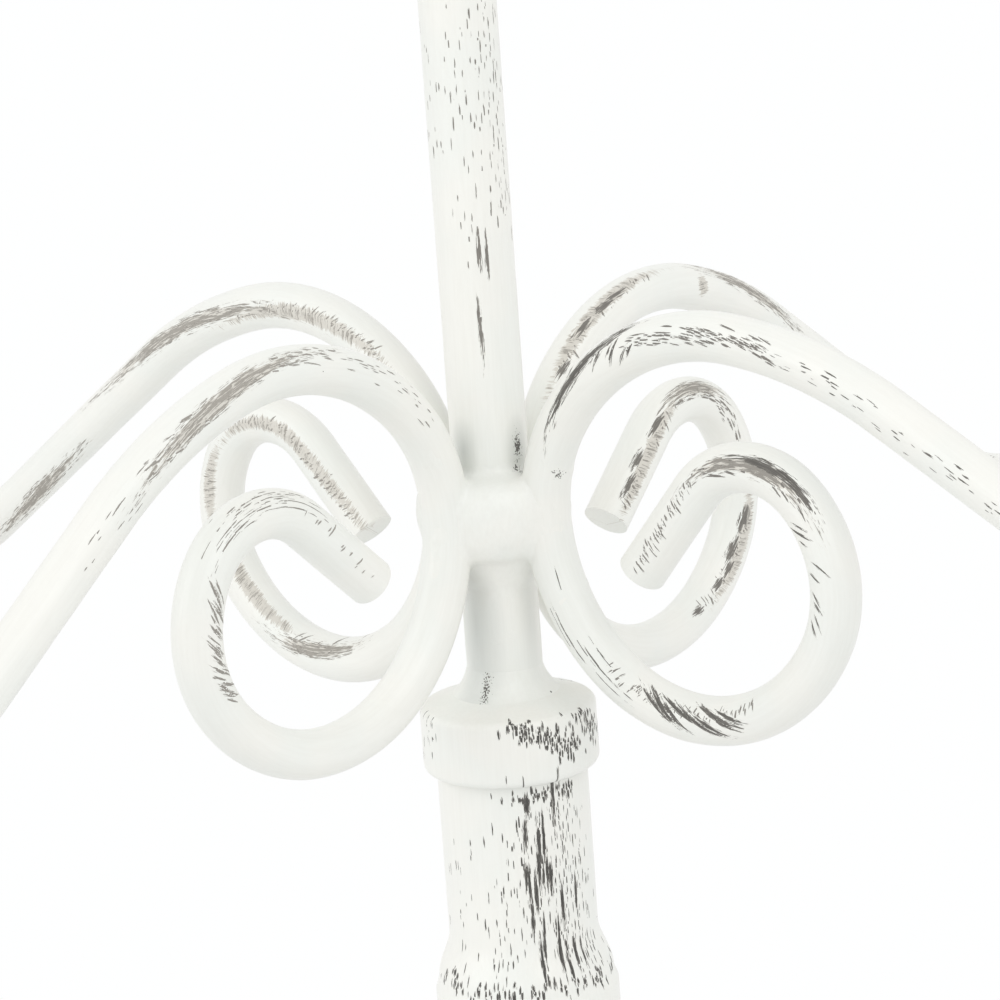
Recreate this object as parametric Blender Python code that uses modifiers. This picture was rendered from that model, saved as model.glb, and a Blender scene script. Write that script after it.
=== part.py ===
"""Five-light candelabra: four scrolled arms welded round a centre post on a turned column.

Metres, +Z up. The foot's underside lies on z = 0 and the post's axis is the Z axis.
Four round bars are bent to one table, laid against the post and welded there. Each carries
a drip pan and a candle cup, and the post carries the fifth pair. The column is a stack of
turned pieces that a threaded rod draws together from under the foot.
"""

import math

import bmesh
import bpy
from mathutils import Matrix, Vector

# Stock sizes
BAR_DIAMETER = 0.006
POST_DIAMETER = 0.0095
COLUMN_DIAMETER = 0.019
GAP = 0.0003  # between pieces that touch on the real object

# Bending table of an arm, from the weld outwards: radius and angle of each bend
ARCH_BENDS = ((0.0205, 40.0), (0.028, 61.0), (0.056, 23.0))
SCROLL_BENDS = ((0.0245, 47.0), (0.021, 102.0), (0.015, 71.0), (0.01025, 96.5))
SCROLL_TAIL = 0.0137
CUP_BEND_RADIUS = 0.047
CUP_REACH = 0.172  # from the post's axis to an arm's cup axis
CUP_STUB = 0.0045  # upright length above the highest arm's last bend
BEND_STEP = 12.0  # degrees between two rings of an arm
BAR_SIDES = 10

# Each arm was bent and set by hand: direction, how far it sits out and up at the weld, its tilt,
# and by how much the arch's last bend fell short
ARMS = (
    ("right_front", 1.5, 0.0005, -0.0013, 4.0, 0.0),
    ("right_back", 91.5, 0.0, -0.0007, -2.5, 3.0),
    ("left_back", 178.5, 0.0, 0.0, -0.5, 0.0),
    ("left_front", 268.5, 0.0005, 0.0020, -4.0, 0.0),
)

# Welds between each two arms
WELD_NAMES = ("right", "back", "left", "front")
WELD_HEIGHT = 0.0115
WELD_DIAMETER = 0.0205
WELD_END_DIAMETER = 0.0135
WELD_STRETCH = 0.0184  # of an arm, above and below the welds' middle, that the welds are fitted to

# Centre post and the domed cap that it stands on
POST_RISE = 0.100  # its upper end above the middle of the arm welds
POST_DROP = 0.0272  # its lower end below them
ROD_HOLE_DEPTH = 0.020
CAP_DIAMETER = 0.0222
CAP_SKIRT_HEIGHT = 0.0062
CAP_SHOULDER_HEIGHT = 0.0024  # the dome's edge above the skirt's inner step
CAP_DOME_RISE = 0.0018
CAP_CORNER_RADIUS = 0.0009
POST_WELD_HEIGHT = 0.0036
POST_WELD_DIAMETER = 0.0166
POST_WELD_HOLLOW = 0.98  # share of the fillet's width that is hollowed

# Turned column
UPPER_COLUMN_HEIGHT = 0.0465
RING_DIAMETER = 0.0234
RING_HEIGHT = 0.0075
RING_FLARE = 0.0065
NECK_DIAMETER = 0.017
NECK_HEIGHT = 0.0055
LOWER_COLUMN_HEIGHT = 0.104
LOWER_RING_INSET = 0.018
COLUMN_END = 0.002  # plain stretch at each end of the lower column
COLUMN_SWELL = 0.0108  # from each end to where the lower column has its full diameter
KNOP_HEIGHT = 0.014
KNOP_DIAMETER = 0.034
KNOP_LIP = 0.0022
BALUSTER_HEIGHT = 0.108
BALUSTER_DIAMETER = 0.036
BALUSTER_NECK = 0.0155
BALUSTER_LIP = 0.0035
BELLY_HEIGHT = 0.0324  # of the baluster's widest place above its base
FOOT_RING_HEIGHT = 0.009
FOOT_RING_DIAMETER = 0.033

# Foot, hollow below
FOOT_DIAMETER = 0.150
FOOT_HEIGHT = 0.034
FOOT_NECK_DIAMETER = 0.026
FOOT_STEP_DIAMETER = 0.068
FOOT_STEP_HEIGHT = 0.0215
FOOT_BEAD_RADIUS = 0.0018
FOOT_EDGE_HEIGHT = 0.0065
FOOT_EDGE_RADIUS = 0.0012
FOOT_WALL = 0.0036
FOOT_RIM_WIDTH = 0.0065
FOOT_BOSS_DIAMETER = 0.024
FOOT_BOSS_LEVEL = 0.0145

# Threaded rod with its nut and washer
ROD_DIAMETER = 0.006
ROD_BELOW_NUT = 0.0025
NUT_ACROSS_FLATS = 0.010
NUT_HEIGHT = 0.005
WASHER_DIAMETER = 0.018
WASHER_THICKNESS = 0.0016

# Drip pans, candle cups and the screws that hold them
PAN_DIAMETER = 0.052
PAN_THICKNESS = 0.0014
PAN_DEPTH = 0.0052
PAN_HUB_DIAMETER = 0.022
PAN_FLAT = 0.0078  # width of the flat stretch round the hub
CUP_BORE = 0.0224
CUP_DEPTH = 0.0225
CUP_WALL = 0.0015
CUP_LIP = 0.0009
CUP_STEM_HEIGHT = 0.0082
CUP_STEM_DIAMETER = 0.0136
CUP_FOOT_DIAMETER = 0.0185
CUP_FOOT_EDGE = 0.0009
CUP_FOOT_HEIGHT = 0.0027
CUP_SHOULDER = 0.0024  # from the cup's floor down to its stem
SCREW_DIAMETER = 0.004
SCREW_HEAD_DIAMETER = 0.008
SCREW_HEAD_HEIGHT = 0.0026
SCREW_HEAD_EDGE = 0.0016
SCREW_GRIP = 0.009  # length in the arm or the post
SCREW_SLOT = 0.001
SCREW_SLOT_DEPTH = 0.0012

# Facets round the turned pieces
COLUMN_STEPS = 16
FOOT_STEPS = 24
POST_STEPS = 24
CUP_STEPS = 16
SMALL_STEPS = 8

# Heights of the stack, each piece on the one below it
FOOT_RING_BASE = FOOT_HEIGHT + GAP
BALUSTER_BASE = FOOT_RING_BASE + FOOT_RING_HEIGHT + GAP
KNOP_BASE = BALUSTER_BASE + BALUSTER_HEIGHT + GAP
LOWER_COLUMN_BASE = KNOP_BASE + KNOP_HEIGHT + GAP
UPPER_COLUMN_BASE = LOWER_COLUMN_BASE + LOWER_COLUMN_HEIGHT + GAP
UPPER_COLUMN_TOP = UPPER_COLUMN_BASE + UPPER_COLUMN_HEIGHT
POST_BASE = UPPER_COLUMN_TOP + GAP
ARM_LEVEL = POST_BASE + POST_DROP  # the middle of the arm welds
POST_TOP = ARM_LEVEL + POST_RISE
ARM_SEAT = POST_DIAMETER / 2 + BAR_DIAMETER / 2 + GAP
ROD_HOLE = ROD_DIAMETER / 2 + GAP
ROD_TOP = POST_BASE + ROD_HOLE_DEPTH - 4 * GAP
SCREW_HOLE = SCREW_DIAMETER / 2 + GAP
WELD_REACH = 2.4 * ARM_SEAT  # from the post's axis, that the welds' clearance takes in

PAINT = (0.80, 0.81, 0.77, 1.0)
STEEL = (0.42, 0.42, 0.43, 1.0)


def new_collection(name):
    collection = bpy.data.collections.new(name)
    bpy.context.scene.collection.children.link(collection)
    return collection


for old in list(bpy.data.objects):
    bpy.data.objects.remove(old)
PARTS = new_collection("candelabra")
CUTTERS = new_collection("cutters")


def finish(obj, colour, roughness, metallic):
    """Gives an object its own Principled material."""
    material = bpy.data.materials.new(obj.name)
    material.use_nodes = True
    shader = material.node_tree.nodes["Principled BSDF"]
    shader.inputs["Base Color"].default_value = colour
    shader.inputs["Roughness"].default_value = roughness
    shader.inputs["Metallic"].default_value = metallic
    obj.data.materials.append(material)
    return obj


def painted(obj):
    return finish(obj, PAINT, 0.45, 0.0)


def bare_steel(obj):
    return finish(obj, STEEL, 0.35, 1.0)


def add_object(name, mesh, collection=PARTS):
    obj = bpy.data.objects.new(name, mesh)
    collection.objects.link(obj)
    if collection is CUTTERS:
        obj.hide_render = True
        obj.display_type = "WIRE"
    return obj


def cut(obj, cutter, operation="DIFFERENCE"):
    boolean = obj.modifiers.new("cut " + cutter.name, "BOOLEAN")
    boolean.operation = operation
    boolean.object = cutter
    return obj


def arc(radius_at, height_at, radius, start, end, steps):
    """Points of an arc in a profile, its centre at (radius_at, height_at), angles in degrees."""
    points = []
    for step in range(steps + 1):
        angle = math.radians(start + (end - start) * step / steps)
        points.append((radius_at + radius * math.cos(angle), height_at + radius * math.sin(angle)))
    return points


def ease(start, end, steps):
    """Points of an S-shaped sweep between two profile points, level with the axis at both ends."""
    points = []
    for step in range(steps + 1):
        share = step / steps
        across = (1 - math.cos(math.pi * share)) / 2
        points.append((start[0] + (end[0] - start[0]) * across, start[1] + (end[1] - start[1]) * share))
    return points


def quarter(start, end, steps, hollow=False):
    """A quarter of an oval from the inner upper point of a profile to its outer lower one."""
    points = []
    for step in range(steps + 1):
        angle = math.pi / 2 * step / steps
        out, down = math.sin(angle), 1 - math.cos(angle)
        if hollow:
            out, down = down, out
        points.append((start[0] + (end[0] - start[0]) * out, start[1] + (end[1] - start[1]) * down))
    return points


def bead(radius, top, height, depth, steps=6):
    """A half-round bead that stands out of a cylinder by depth, from the top down."""
    points = []
    for step in range(steps + 1):
        angle = math.pi * step / steps
        points.append((radius + depth * math.sin(angle), top - height * (1 - math.cos(angle)) / 2))
    return points


def turned(name, outer, bore, steps, place=(0.0, 0.0, 0.0), collection=PARTS):
    """A turned piece: outer runs down its outside from the top, bore runs up its hole from below."""
    profile = [point for index, point in enumerate(outer) if index == 0 or point != outer[index - 1]]
    profile += bore
    mesh = bpy.data.meshes.new(name)
    edges = [(index, (index + 1) % len(profile)) for index in range(len(profile))]
    mesh.from_pydata([(radius, 0.0, height) for radius, height in profile], edges, [])
    obj = add_object(name, mesh, collection)
    obj.location = place
    screw = obj.modifiers.new("turn", "SCREW")
    screw.steps = steps
    screw.render_steps = steps
    screw.use_merge_vertices = True
    screw.merge_threshold = 0.00002
    screw.use_smooth_shade = True
    return obj


def cylinder(name, diameter, low, high, steps, place=(0.0, 0.0), collection=CUTTERS):
    """An upright cylinder between two heights."""
    mesh = bpy.data.meshes.new(name)
    form = bmesh.new()
    bmesh.ops.create_cone(
        form, cap_ends=True, segments=steps, radius1=diameter / 2, radius2=diameter / 2, depth=high - low
    )
    form.to_mesh(mesh)
    form.free()
    obj = add_object(name, mesh, collection)
    obj.location = (place[0], place[1], (low + high) / 2)
    return obj


def box(name, low, high, turn=0.0, collection=CUTTERS):
    """A box between two corners, turned about the Z axis by an angle in degrees."""
    mesh = bpy.data.meshes.new(name)
    form = bmesh.new()
    size = Vector(high) - Vector(low)
    middle = (Vector(high) + Vector(low)) / 2
    bmesh.ops.create_cube(form, size=1.0, matrix=Matrix.Translation(middle) @ Matrix.Diagonal((*size, 1.0)))
    form.to_mesh(mesh)
    form.free()
    obj = add_object(name, mesh, collection)
    obj.rotation_euler.z = math.radians(turn)
    return obj


def bent_bar(name, points, diameter, sides, collection=PARTS):
    """A round bar along points in space, as a closed mesh with flat ends."""
    curve = bpy.data.curves.new(name, "CURVE")
    curve.dimensions = "3D"
    curve.bevel_depth = diameter / 2
    curve.bevel_resolution = sides // 2 - 2
    curve.use_fill_caps = True
    spline = curve.splines.new("POLY")
    spline.points.add(len(points) - 1)
    for point, place in zip(spline.points, points):
        point.co = (*place, 1.0)
    guide = bpy.data.objects.new(name + " guide", curve)
    CUTTERS.objects.link(guide)
    depsgraph = bpy.context.evaluated_depsgraph_get()
    mesh = bpy.data.meshes.new_from_object(guide.evaluated_get(depsgraph))
    mesh.name = name
    form = bmesh.new()
    form.from_mesh(mesh)
    bmesh.ops.remove_doubles(form, verts=form.verts, dist=0.00001)
    form.to_mesh(mesh)
    form.free()
    mesh.materials.clear()
    matrix = guide.matrix_world.copy()
    bpy.data.objects.remove(guide)
    bpy.data.curves.remove(curve)
    obj = add_object(name, mesh, collection)
    obj.matrix_world = matrix
    mesh.shade_smooth()
    mesh.set_sharp_from_angle(angle=math.radians(50))
    return obj


def bend(at, heading, bends, turn):
    """Follows bends in an arm's plane, turning left (+1) or right (-1) from a heading in degrees."""
    points = []
    radius_at, height_at = at
    for radius, angle in bends:
        steps = max(2, round(angle / BEND_STEP))
        side = math.radians(heading + 90 * turn)
        centre = (radius_at + radius * math.cos(side), height_at + radius * math.sin(side))
        for step in range(1, steps + 1):
            way = math.radians(heading + turn * angle * step / steps - 90 * turn)
            points.append((centre[0] + radius * math.cos(way), centre[1] + radius * math.sin(way)))
        heading += turn * angle
        radius_at, height_at = points[-1]
    return points, heading


def straight(at, heading, length):
    way = math.radians(heading)
    return (at[0] + length * math.cos(way), at[1] + length * math.sin(way))


def arm_route(set_out, lift, tilt, short):
    """The scroll's and the arch's points in the arm's plane, as two lists that start at the weld."""
    weld = (ARM_SEAT + set_out, ARM_LEVEL + lift)
    scroll, heading = bend(weld, tilt - 90, SCROLL_BENDS, 1)
    scroll.append(straight(scroll[-1], heading, SCROLL_TAIL))
    *first_bends, (last_radius, last_angle) = ARCH_BENDS
    arch, heading = bend(weld, 90 + tilt, (*first_bends, (last_radius, last_angle - short)), -1)
    slope = math.radians(heading)
    run = CUP_REACH - arch[-1][0] - CUP_BEND_RADIUS * (1 - math.sin(slope))
    arch.append(straight(arch[-1], heading, run / math.cos(slope)))
    rise, _ = bend(arch[-1], heading, ((CUP_BEND_RADIUS, 90 - heading),), 1)
    return [weld] + scroll, [weld] + arch + rise


ROUTES = {name: arm_route(*setting) for name, _, *setting in ARMS}
ARM_TOP = max(arch[-1][1] for _, arch in ROUTES.values()) + CUP_STUB  # where all four are cut off level


def in_plane(points, direction):
    """Turns points of an arm's plane into points in space."""
    angle = math.radians(direction)
    return [(radius * math.cos(angle), radius * math.sin(angle), height) for radius, height in points]


def make_arms():
    """The four bars, and for each a thicker copy of its welded stretch that cuts the welds."""
    near_weld = {}
    for name, direction, *_ in ARMS:
        scroll, arch = ROUTES[name]
        route = scroll[:0:-1] + arch
        whole = in_plane(route + [(CUP_REACH, ARM_TOP)], direction)
        arm = bent_bar("arm_" + name, whole, BAR_DIAMETER, BAR_SIDES)
        axis = in_plane([(CUP_REACH, 0.0)], direction)[0]
        low, high = ARM_TOP - SCREW_GRIP - 2 * GAP, ARM_TOP + BAR_DIAMETER
        painted(cut(arm, cylinder("tapped hole " + name, 2 * SCREW_HOLE, low, high, SMALL_STEPS, axis[:2])))
        stretch = [at for at in route if abs(at[1] - ARM_LEVEL) < WELD_STRETCH and at[0] < WELD_REACH]
        near_weld[name] = bent_bar(
            "clearance " + name, in_plane(stretch, direction), BAR_DIAMETER + 2 * GAP, BAR_SIDES, CUTTERS
        )
    return near_weld


def make_arm_welds(near_weld):
    """The lump of weld between each two arms, a quarter of one turned lump each."""
    post_side = POST_DIAMETER / 2 + GAP
    half = WELD_HEIGHT / 2
    bulge, end = WELD_DIAMETER / 2, WELD_END_DIAMETER / 2
    for index, name in enumerate(WELD_NAMES):
        first, second = ARMS[index], ARMS[(index + 1) % len(ARMS)]
        level = ARM_LEVEL + (first[3] + second[3]) / 2
        outer = []
        for degrees in range(90, -91, -30):
            angle = math.radians(degrees)
            outer.append((end + (bulge - end) * math.cos(angle), level + half * math.sin(angle)))
        inner = [(post_side, level - half), (post_side, level + half)]
        lump = turned("arm_weld_" + name, outer, inner, COLUMN_STEPS)
        reach = WELD_DIAMETER
        low, high = level - reach, level + reach
        cut(lump, box("behind " + first[0], (-reach, -reach, low), (reach, GAP / 2, high), first[1]))
        cut(lump, box("beyond " + second[0], (-reach, -GAP / 2, low), (reach, reach, high), second[1]))
        cut(lump, near_weld[first[0]])
        painted(cut(lump, near_weld[second[0]]))


def make_post():
    """The post, tapped at the foot for the rod and at the top for the cup's screw."""
    post = cylinder("centre_post", POST_DIAMETER, POST_BASE, POST_TOP, POST_STEPS, collection=PARTS)
    low, high = POST_BASE - ROD_DIAMETER, POST_BASE + ROD_HOLE_DEPTH
    cut(post, cylinder("rod hole", 2 * ROD_HOLE, low, high, SMALL_STEPS))
    low, high = POST_TOP - SCREW_GRIP - 2 * GAP, POST_TOP + POST_DIAMETER
    cut(post, cylinder("screw hole", 2 * SCREW_HOLE, low, high, SMALL_STEPS))
    painted(post)


def make_cap():
    """The domed cap whose skirt slips over the column, and the fillet of weld round the post's foot."""
    outer_radius = CAP_DIAMETER / 2
    bore = POST_DIAMETER / 2 + GAP
    step = UPPER_COLUMN_TOP + GAP
    skirt_foot = step - CAP_SKIRT_HEIGHT
    shoulder = step + CAP_SHOULDER_HEIGHT
    crown = shoulder + CAP_DOME_RISE
    corner = CAP_CORNER_RADIUS
    slope = CAP_DOME_RISE / (outer_radius - corner - bore)
    outer = [(bore, crown), (outer_radius - corner, shoulder)]
    outer += arc(outer_radius - corner, shoulder - corner, corner, 60, 0, 2)
    outer += arc(outer_radius - corner, skirt_foot + corner, corner, 0, -70, 2)
    sleeve = COLUMN_DIAMETER / 2 + GAP
    cap = turned("column_cap", outer, [(sleeve, skirt_foot), (sleeve, step), (bore, step)], COLUMN_STEPS)
    painted(cap)

    weld_edge = POST_WELD_DIAMETER / 2
    foot = crown + GAP
    top = crown + POST_WELD_HEIGHT
    low_edge = foot - slope * (weld_edge - bore)
    throat = (weld_edge - bore) * POST_WELD_HOLLOW
    outer = [(bore, top)]
    for degrees in range(10, 91, 16):
        angle = math.radians(degrees)
        outer.append((weld_edge - throat * math.cos(angle), top - (top - low_edge - GAP) * math.sin(angle)))
    outer.append((weld_edge, low_edge))
    painted(turned("post_weld", outer, [(bore, foot)], COLUMN_STEPS))


def ring_profile(top, body, flare_above, flare_below):
    """A plain ring of the column, swept in to the body above and to the neck below it."""
    ring = RING_DIAMETER / 2
    soft = RING_HEIGHT / 5
    points = ease((body, top), (ring - soft / 3, top - flare_above), 3)
    points += [(ring, top - flare_above - soft), (ring, top - flare_above - RING_HEIGHT + soft)]
    low = top - flare_above - RING_HEIGHT
    points += ease((ring - soft / 3, low), (flare_below[0], low - flare_below[1]), 2)
    return points


def make_column():
    """The column's turned pieces, from the capped one at the top down to the ring on the foot."""
    body, neck = COLUMN_DIAMETER / 2, NECK_DIAMETER / 2
    base, top = UPPER_COLUMN_BASE, UPPER_COLUMN_TOP
    ring_top = base + NECK_HEIGHT + RING_HEIGHT + RING_FLARE
    outer = [(body, top), (body, (top + ring_top) / 2)]
    outer += ring_profile(ring_top, body, RING_FLARE, (neck, NECK_HEIGHT - RING_HEIGHT / 5))
    outer.append((neck, base))
    painted(turned("upper_column", outer, [(ROD_HOLE, base), (ROD_HOLE, top)], COLUMN_STEPS))

    base, top = LOWER_COLUMN_BASE, LOWER_COLUMN_BASE + LOWER_COLUMN_HEIGHT
    outer = [(neck, top)]
    outer += ease((neck, top - COLUMN_END), (body, top - COLUMN_SWELL), 2)
    outer += ring_profile(top - LOWER_RING_INSET, body, RING_FLARE, (body, RING_FLARE))
    low_ring = base + LOWER_RING_INSET + RING_HEIGHT + 2 * RING_FLARE
    outer += ring_profile(low_ring, body, RING_FLARE, (body, RING_FLARE))
    outer += ease((body, base + COLUMN_SWELL), (neck, base + COLUMN_END), 2)
    outer.append((neck, base))
    painted(turned("lower_column", outer, [(ROD_HOLE, base), (ROD_HOLE, top)], COLUMN_STEPS))

    base, top = KNOP_BASE, KNOP_BASE + KNOP_HEIGHT
    knop = KNOP_DIAMETER / 2
    lip = KNOP_LIP
    outer = [(neck + lip, top), (neck + lip, top - lip)]
    outer += bead(neck, top - lip, KNOP_HEIGHT - 2 * lip, knop - neck, 8)[1:-1]
    outer += [(neck + lip, base + lip), (neck + lip, base)]
    painted(turned("knop", outer, [(ROD_HOLE, base), (ROD_HOLE, top)], COLUMN_STEPS))

    base, top = BALUSTER_BASE, BALUSTER_BASE + BALUSTER_HEIGHT
    slim, belly = BALUSTER_NECK / 2, BALUSTER_DIAMETER / 2
    belly_at = base + BELLY_HEIGHT
    lip = BALUSTER_LIP
    outer = [(neck + lip, top), (neck + lip, top - lip)]
    outer += ease((slim + lip, top - 2 * lip), (slim, top - 4 * lip), 2)
    outer += ease((slim, top - 6 * lip), (belly, belly_at), 7)
    outer += ease((belly, belly_at), (slim, base + 3 * lip), 5)[1:]
    outer += bead(slim, base + 3 * lip, lip, lip / 2, 4)[1:]
    outer += ease((slim, base + 2 * lip), (FOOT_RING_DIAMETER / 2 - lip, base + lip / 2), 2)[1:]
    outer.append((FOOT_RING_DIAMETER / 2 - lip, base))
    painted(turned("baluster", outer, [(ROD_HOLE, base), (ROD_HOLE, top)], COLUMN_STEPS))

    base, top = FOOT_RING_BASE, FOOT_RING_BASE + FOOT_RING_HEIGHT
    seat = FOOT_NECK_DIAMETER / 2
    outer = bead(seat, top, FOOT_RING_HEIGHT, FOOT_RING_DIAMETER / 2 - seat, 8)
    painted(turned("foot_ring", outer, [(ROD_HOLE, base), (ROD_HOLE, top)], COLUMN_STEPS))


def make_foot():
    """The hollow foot: a cove under the neck, a beaded step, a dome and a moulded edge."""
    neck, step, rim = FOOT_NECK_DIAMETER / 2, FOOT_STEP_DIAMETER / 2, FOOT_DIAMETER / 2
    round_over, edge = FOOT_BEAD_RADIUS, FOOT_EDGE_RADIUS
    cove_side = step - round_over
    outer = [(neck, FOOT_HEIGHT)]
    outer += quarter((neck, FOOT_HEIGHT - edge), (cove_side, FOOT_STEP_HEIGHT + round_over), 5, hollow=True)
    outer += arc(step, FOOT_STEP_HEIGHT, round_over, 80, -60, 3)
    dome_top = (step + round_over, FOOT_STEP_HEIGHT - 2 * round_over)
    dome_foot = (rim - FOOT_RIM_WIDTH, FOOT_EDGE_HEIGHT + edge)
    outer += quarter(dome_top, dome_foot, 5)
    outer += arc(rim - edge, FOOT_EDGE_HEIGHT - edge, edge, 90, 0, 2)
    outer += [(rim, edge / 2), (rim - edge / 2, 0.0)]

    boss = FOOT_BOSS_DIAMETER / 2
    inner = [(rim - FOOT_RIM_WIDTH, 0.0), (rim - FOOT_RIM_WIDTH - edge, edge)]
    under_top = (dome_top[0], dome_top[1] - FOOT_WALL)
    under_foot = (dome_foot[0] - FOOT_WALL, dome_foot[1] - FOOT_WALL)
    inner += quarter(under_top, under_foot, 4)[-2::-1]
    inner += [(boss + edge, dome_top[1] - FOOT_WALL), (boss, FOOT_BOSS_LEVEL)]
    inner += [(ROD_HOLE, FOOT_BOSS_LEVEL), (ROD_HOLE, FOOT_HEIGHT)]
    painted(turned("foot", outer, inner, FOOT_STEPS))


def make_rod():
    """The threaded rod from the foot's recess up into the post, with its washer and nut."""
    washer_top = FOOT_BOSS_LEVEL - GAP
    washer_base = washer_top - WASHER_THICKNESS
    nut_top = washer_base - GAP
    nut_base = nut_top - NUT_HEIGHT
    rod_base = nut_base - ROD_BELOW_NUT
    bare_steel(cylinder("tie_rod", ROD_DIAMETER, rod_base, ROD_TOP, SMALL_STEPS, collection=PARTS))
    outer = [(WASHER_DIAMETER / 2, washer_top), (WASHER_DIAMETER / 2, washer_base)]
    bare_steel(turned("rod_washer", outer, [(ROD_HOLE, washer_base), (ROD_HOLE, washer_top)], COLUMN_STEPS))
    across_corners = NUT_ACROSS_FLATS / math.cos(math.pi / 6)
    nut = cylinder("rod_nut", across_corners, nut_base, nut_top, 6, collection=PARTS)
    cut(nut, cylinder("nut thread", 2 * ROD_HOLE, nut_base - GAP, nut_top + GAP, SMALL_STEPS))
    bare_steel(nut)


def make_light(name, place, seat):
    """A drip pan, a candle cup and their screw on the upper end of an arm or of the post."""
    at = (place[0], place[1], seat + GAP)
    hub, rim = PAN_HUB_DIAMETER / 2, PAN_DIAMETER / 2
    roll = PAN_THICKNESS / 2
    turn_up, lip = (hub + PAN_FLAT, roll), (rim, PAN_DEPTH - 2 * roll)
    outer = [(rim - 1.5 * roll, PAN_DEPTH), (rim - roll / 2, PAN_DEPTH)]
    outer += ease(lip, turn_up, 3)
    outer += [(hub, 0.0)]
    inside = [(SCREW_HOLE, 0.0), (SCREW_HOLE, PAN_THICKNESS), (hub, PAN_THICKNESS)]
    for radius, height in ease(turn_up, lip, 3)[:-1]:
        inside.append((radius - PAN_THICKNESS, height + 1.6 * roll))
    inside += [(rim - 2 * roll, PAN_DEPTH - roll)]
    painted(turned("drip_pan_" + name, outer, inside, CUP_STEPS, at))

    at = (place[0], place[1], seat + PAN_THICKNESS + 2 * GAP)
    bore, stem, foot = CUP_BORE / 2, CUP_STEM_DIAMETER / 2, CUP_FOOT_DIAMETER / 2
    shell = bore + CUP_WALL
    top = CUP_STEM_HEIGHT + CUP_DEPTH
    floor = CUP_STEM_HEIGHT
    sink = SCREW_HEAD_DIAMETER / 2 + GAP
    head_seat = floor - SCREW_HEAD_HEIGHT - 2 * GAP
    outer = [(bore, top)]
    outer += bead(shell, top - CUP_LIP / 3, 3 * CUP_LIP, CUP_LIP, 3)
    outer += [(shell, floor + 2 * CUP_WALL)]
    outer += ease((shell - CUP_WALL / 3, floor + CUP_WALL), (stem, floor - CUP_SHOULDER), 2)
    outer += [(stem, CUP_FOOT_HEIGHT), (foot, CUP_FOOT_EDGE), (foot, 0.0)]
    inside = [(SCREW_HOLE, 0.0), (SCREW_HOLE, head_seat), (sink, head_seat), (sink, floor), (bore, floor)]
    painted(turned("candle_cup_" + name, outer, inside, CUP_STEPS, at))

    under_head = at[2] + head_seat + GAP
    head, shank = SCREW_HEAD_DIAMETER / 2, SCREW_DIAMETER / 2
    crown = under_head + SCREW_HEAD_HEIGHT
    outer = [(0.0, crown), (head * 0.6, crown - GAP), (head, under_head + SCREW_HEAD_EDGE)]
    outer += [(head, under_head), (shank, under_head), (shank, seat - SCREW_GRIP), (0.0, seat - SCREW_GRIP)]
    screw = turned("cup_screw_" + name, outer, [], SMALL_STEPS, (place[0], place[1], 0.0))
    slot = box(
        "slot " + name,
        (place[0] - SCREW_HEAD_DIAMETER, place[1] - SCREW_SLOT / 2, crown - SCREW_SLOT_DEPTH),
        (place[0] + SCREW_HEAD_DIAMETER, place[1] + SCREW_SLOT / 2, crown + SCREW_HEAD_HEIGHT),
    )
    bare_steel(cut(screw, slot))


def main():
    make_foot()
    make_column()
    make_cap()
    make_rod()
    make_post()
    make_arm_welds(make_arms())
    make_light("centre", (0.0, 0.0), POST_TOP)
    for name, direction, *_ in ARMS:
        make_light(name, in_plane([(CUP_REACH, 0.0)], direction)[0][:2], ARM_TOP)


main()
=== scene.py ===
"""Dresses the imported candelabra: smooth bars and turnings, run-together welds, brushed and
rubbed paint, fastener steel and a pale studio. Metres, +Z up, in the frame's own place."""

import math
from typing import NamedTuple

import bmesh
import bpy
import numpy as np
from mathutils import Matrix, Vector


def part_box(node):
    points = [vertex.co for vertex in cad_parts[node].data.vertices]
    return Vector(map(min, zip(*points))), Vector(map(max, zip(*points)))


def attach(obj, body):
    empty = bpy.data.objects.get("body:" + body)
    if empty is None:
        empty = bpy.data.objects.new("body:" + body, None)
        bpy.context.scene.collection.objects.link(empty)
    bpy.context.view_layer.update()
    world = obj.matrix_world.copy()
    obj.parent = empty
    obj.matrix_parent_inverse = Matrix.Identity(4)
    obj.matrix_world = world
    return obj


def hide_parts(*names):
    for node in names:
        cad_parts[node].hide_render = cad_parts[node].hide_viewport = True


bl_info = {
    "name": "Worn Candelabra",
    "version": (1, 0, 0),
    "blender": (4, 5, 0),
    "location": "View3D > Sidebar > Candelabra",
    "description": "Dresses a scrolled candelabra with worn pale paint and lights it",
    "category": "Add Mesh",
}

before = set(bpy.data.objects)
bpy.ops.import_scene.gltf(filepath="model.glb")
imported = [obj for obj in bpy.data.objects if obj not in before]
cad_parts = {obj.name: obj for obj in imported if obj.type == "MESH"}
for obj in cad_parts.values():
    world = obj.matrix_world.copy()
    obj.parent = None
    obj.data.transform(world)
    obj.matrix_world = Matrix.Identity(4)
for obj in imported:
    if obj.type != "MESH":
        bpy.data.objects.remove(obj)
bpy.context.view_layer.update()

MM = 0.001
GAP = 0.0003  # that the frame keeps between pieces
BODY = "root"


def low(node):
    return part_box(node)[0]


def high(node):
    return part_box(node)[1]


def radius_of(node):
    """Half of a round node's smaller side, so that nothing turned to it stands out of its box."""
    size = high(node) - low(node)
    return min(size.x, size.y) / 2


def span(node):
    """A node's lowest and highest level."""
    return low(node).z, high(node).z


def axis_of(node):
    """Where a round node's upright axis stands."""
    middle = (high(node) + low(node)) / 2
    return Vector((middle.x, middle.y, 0.0))


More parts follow.
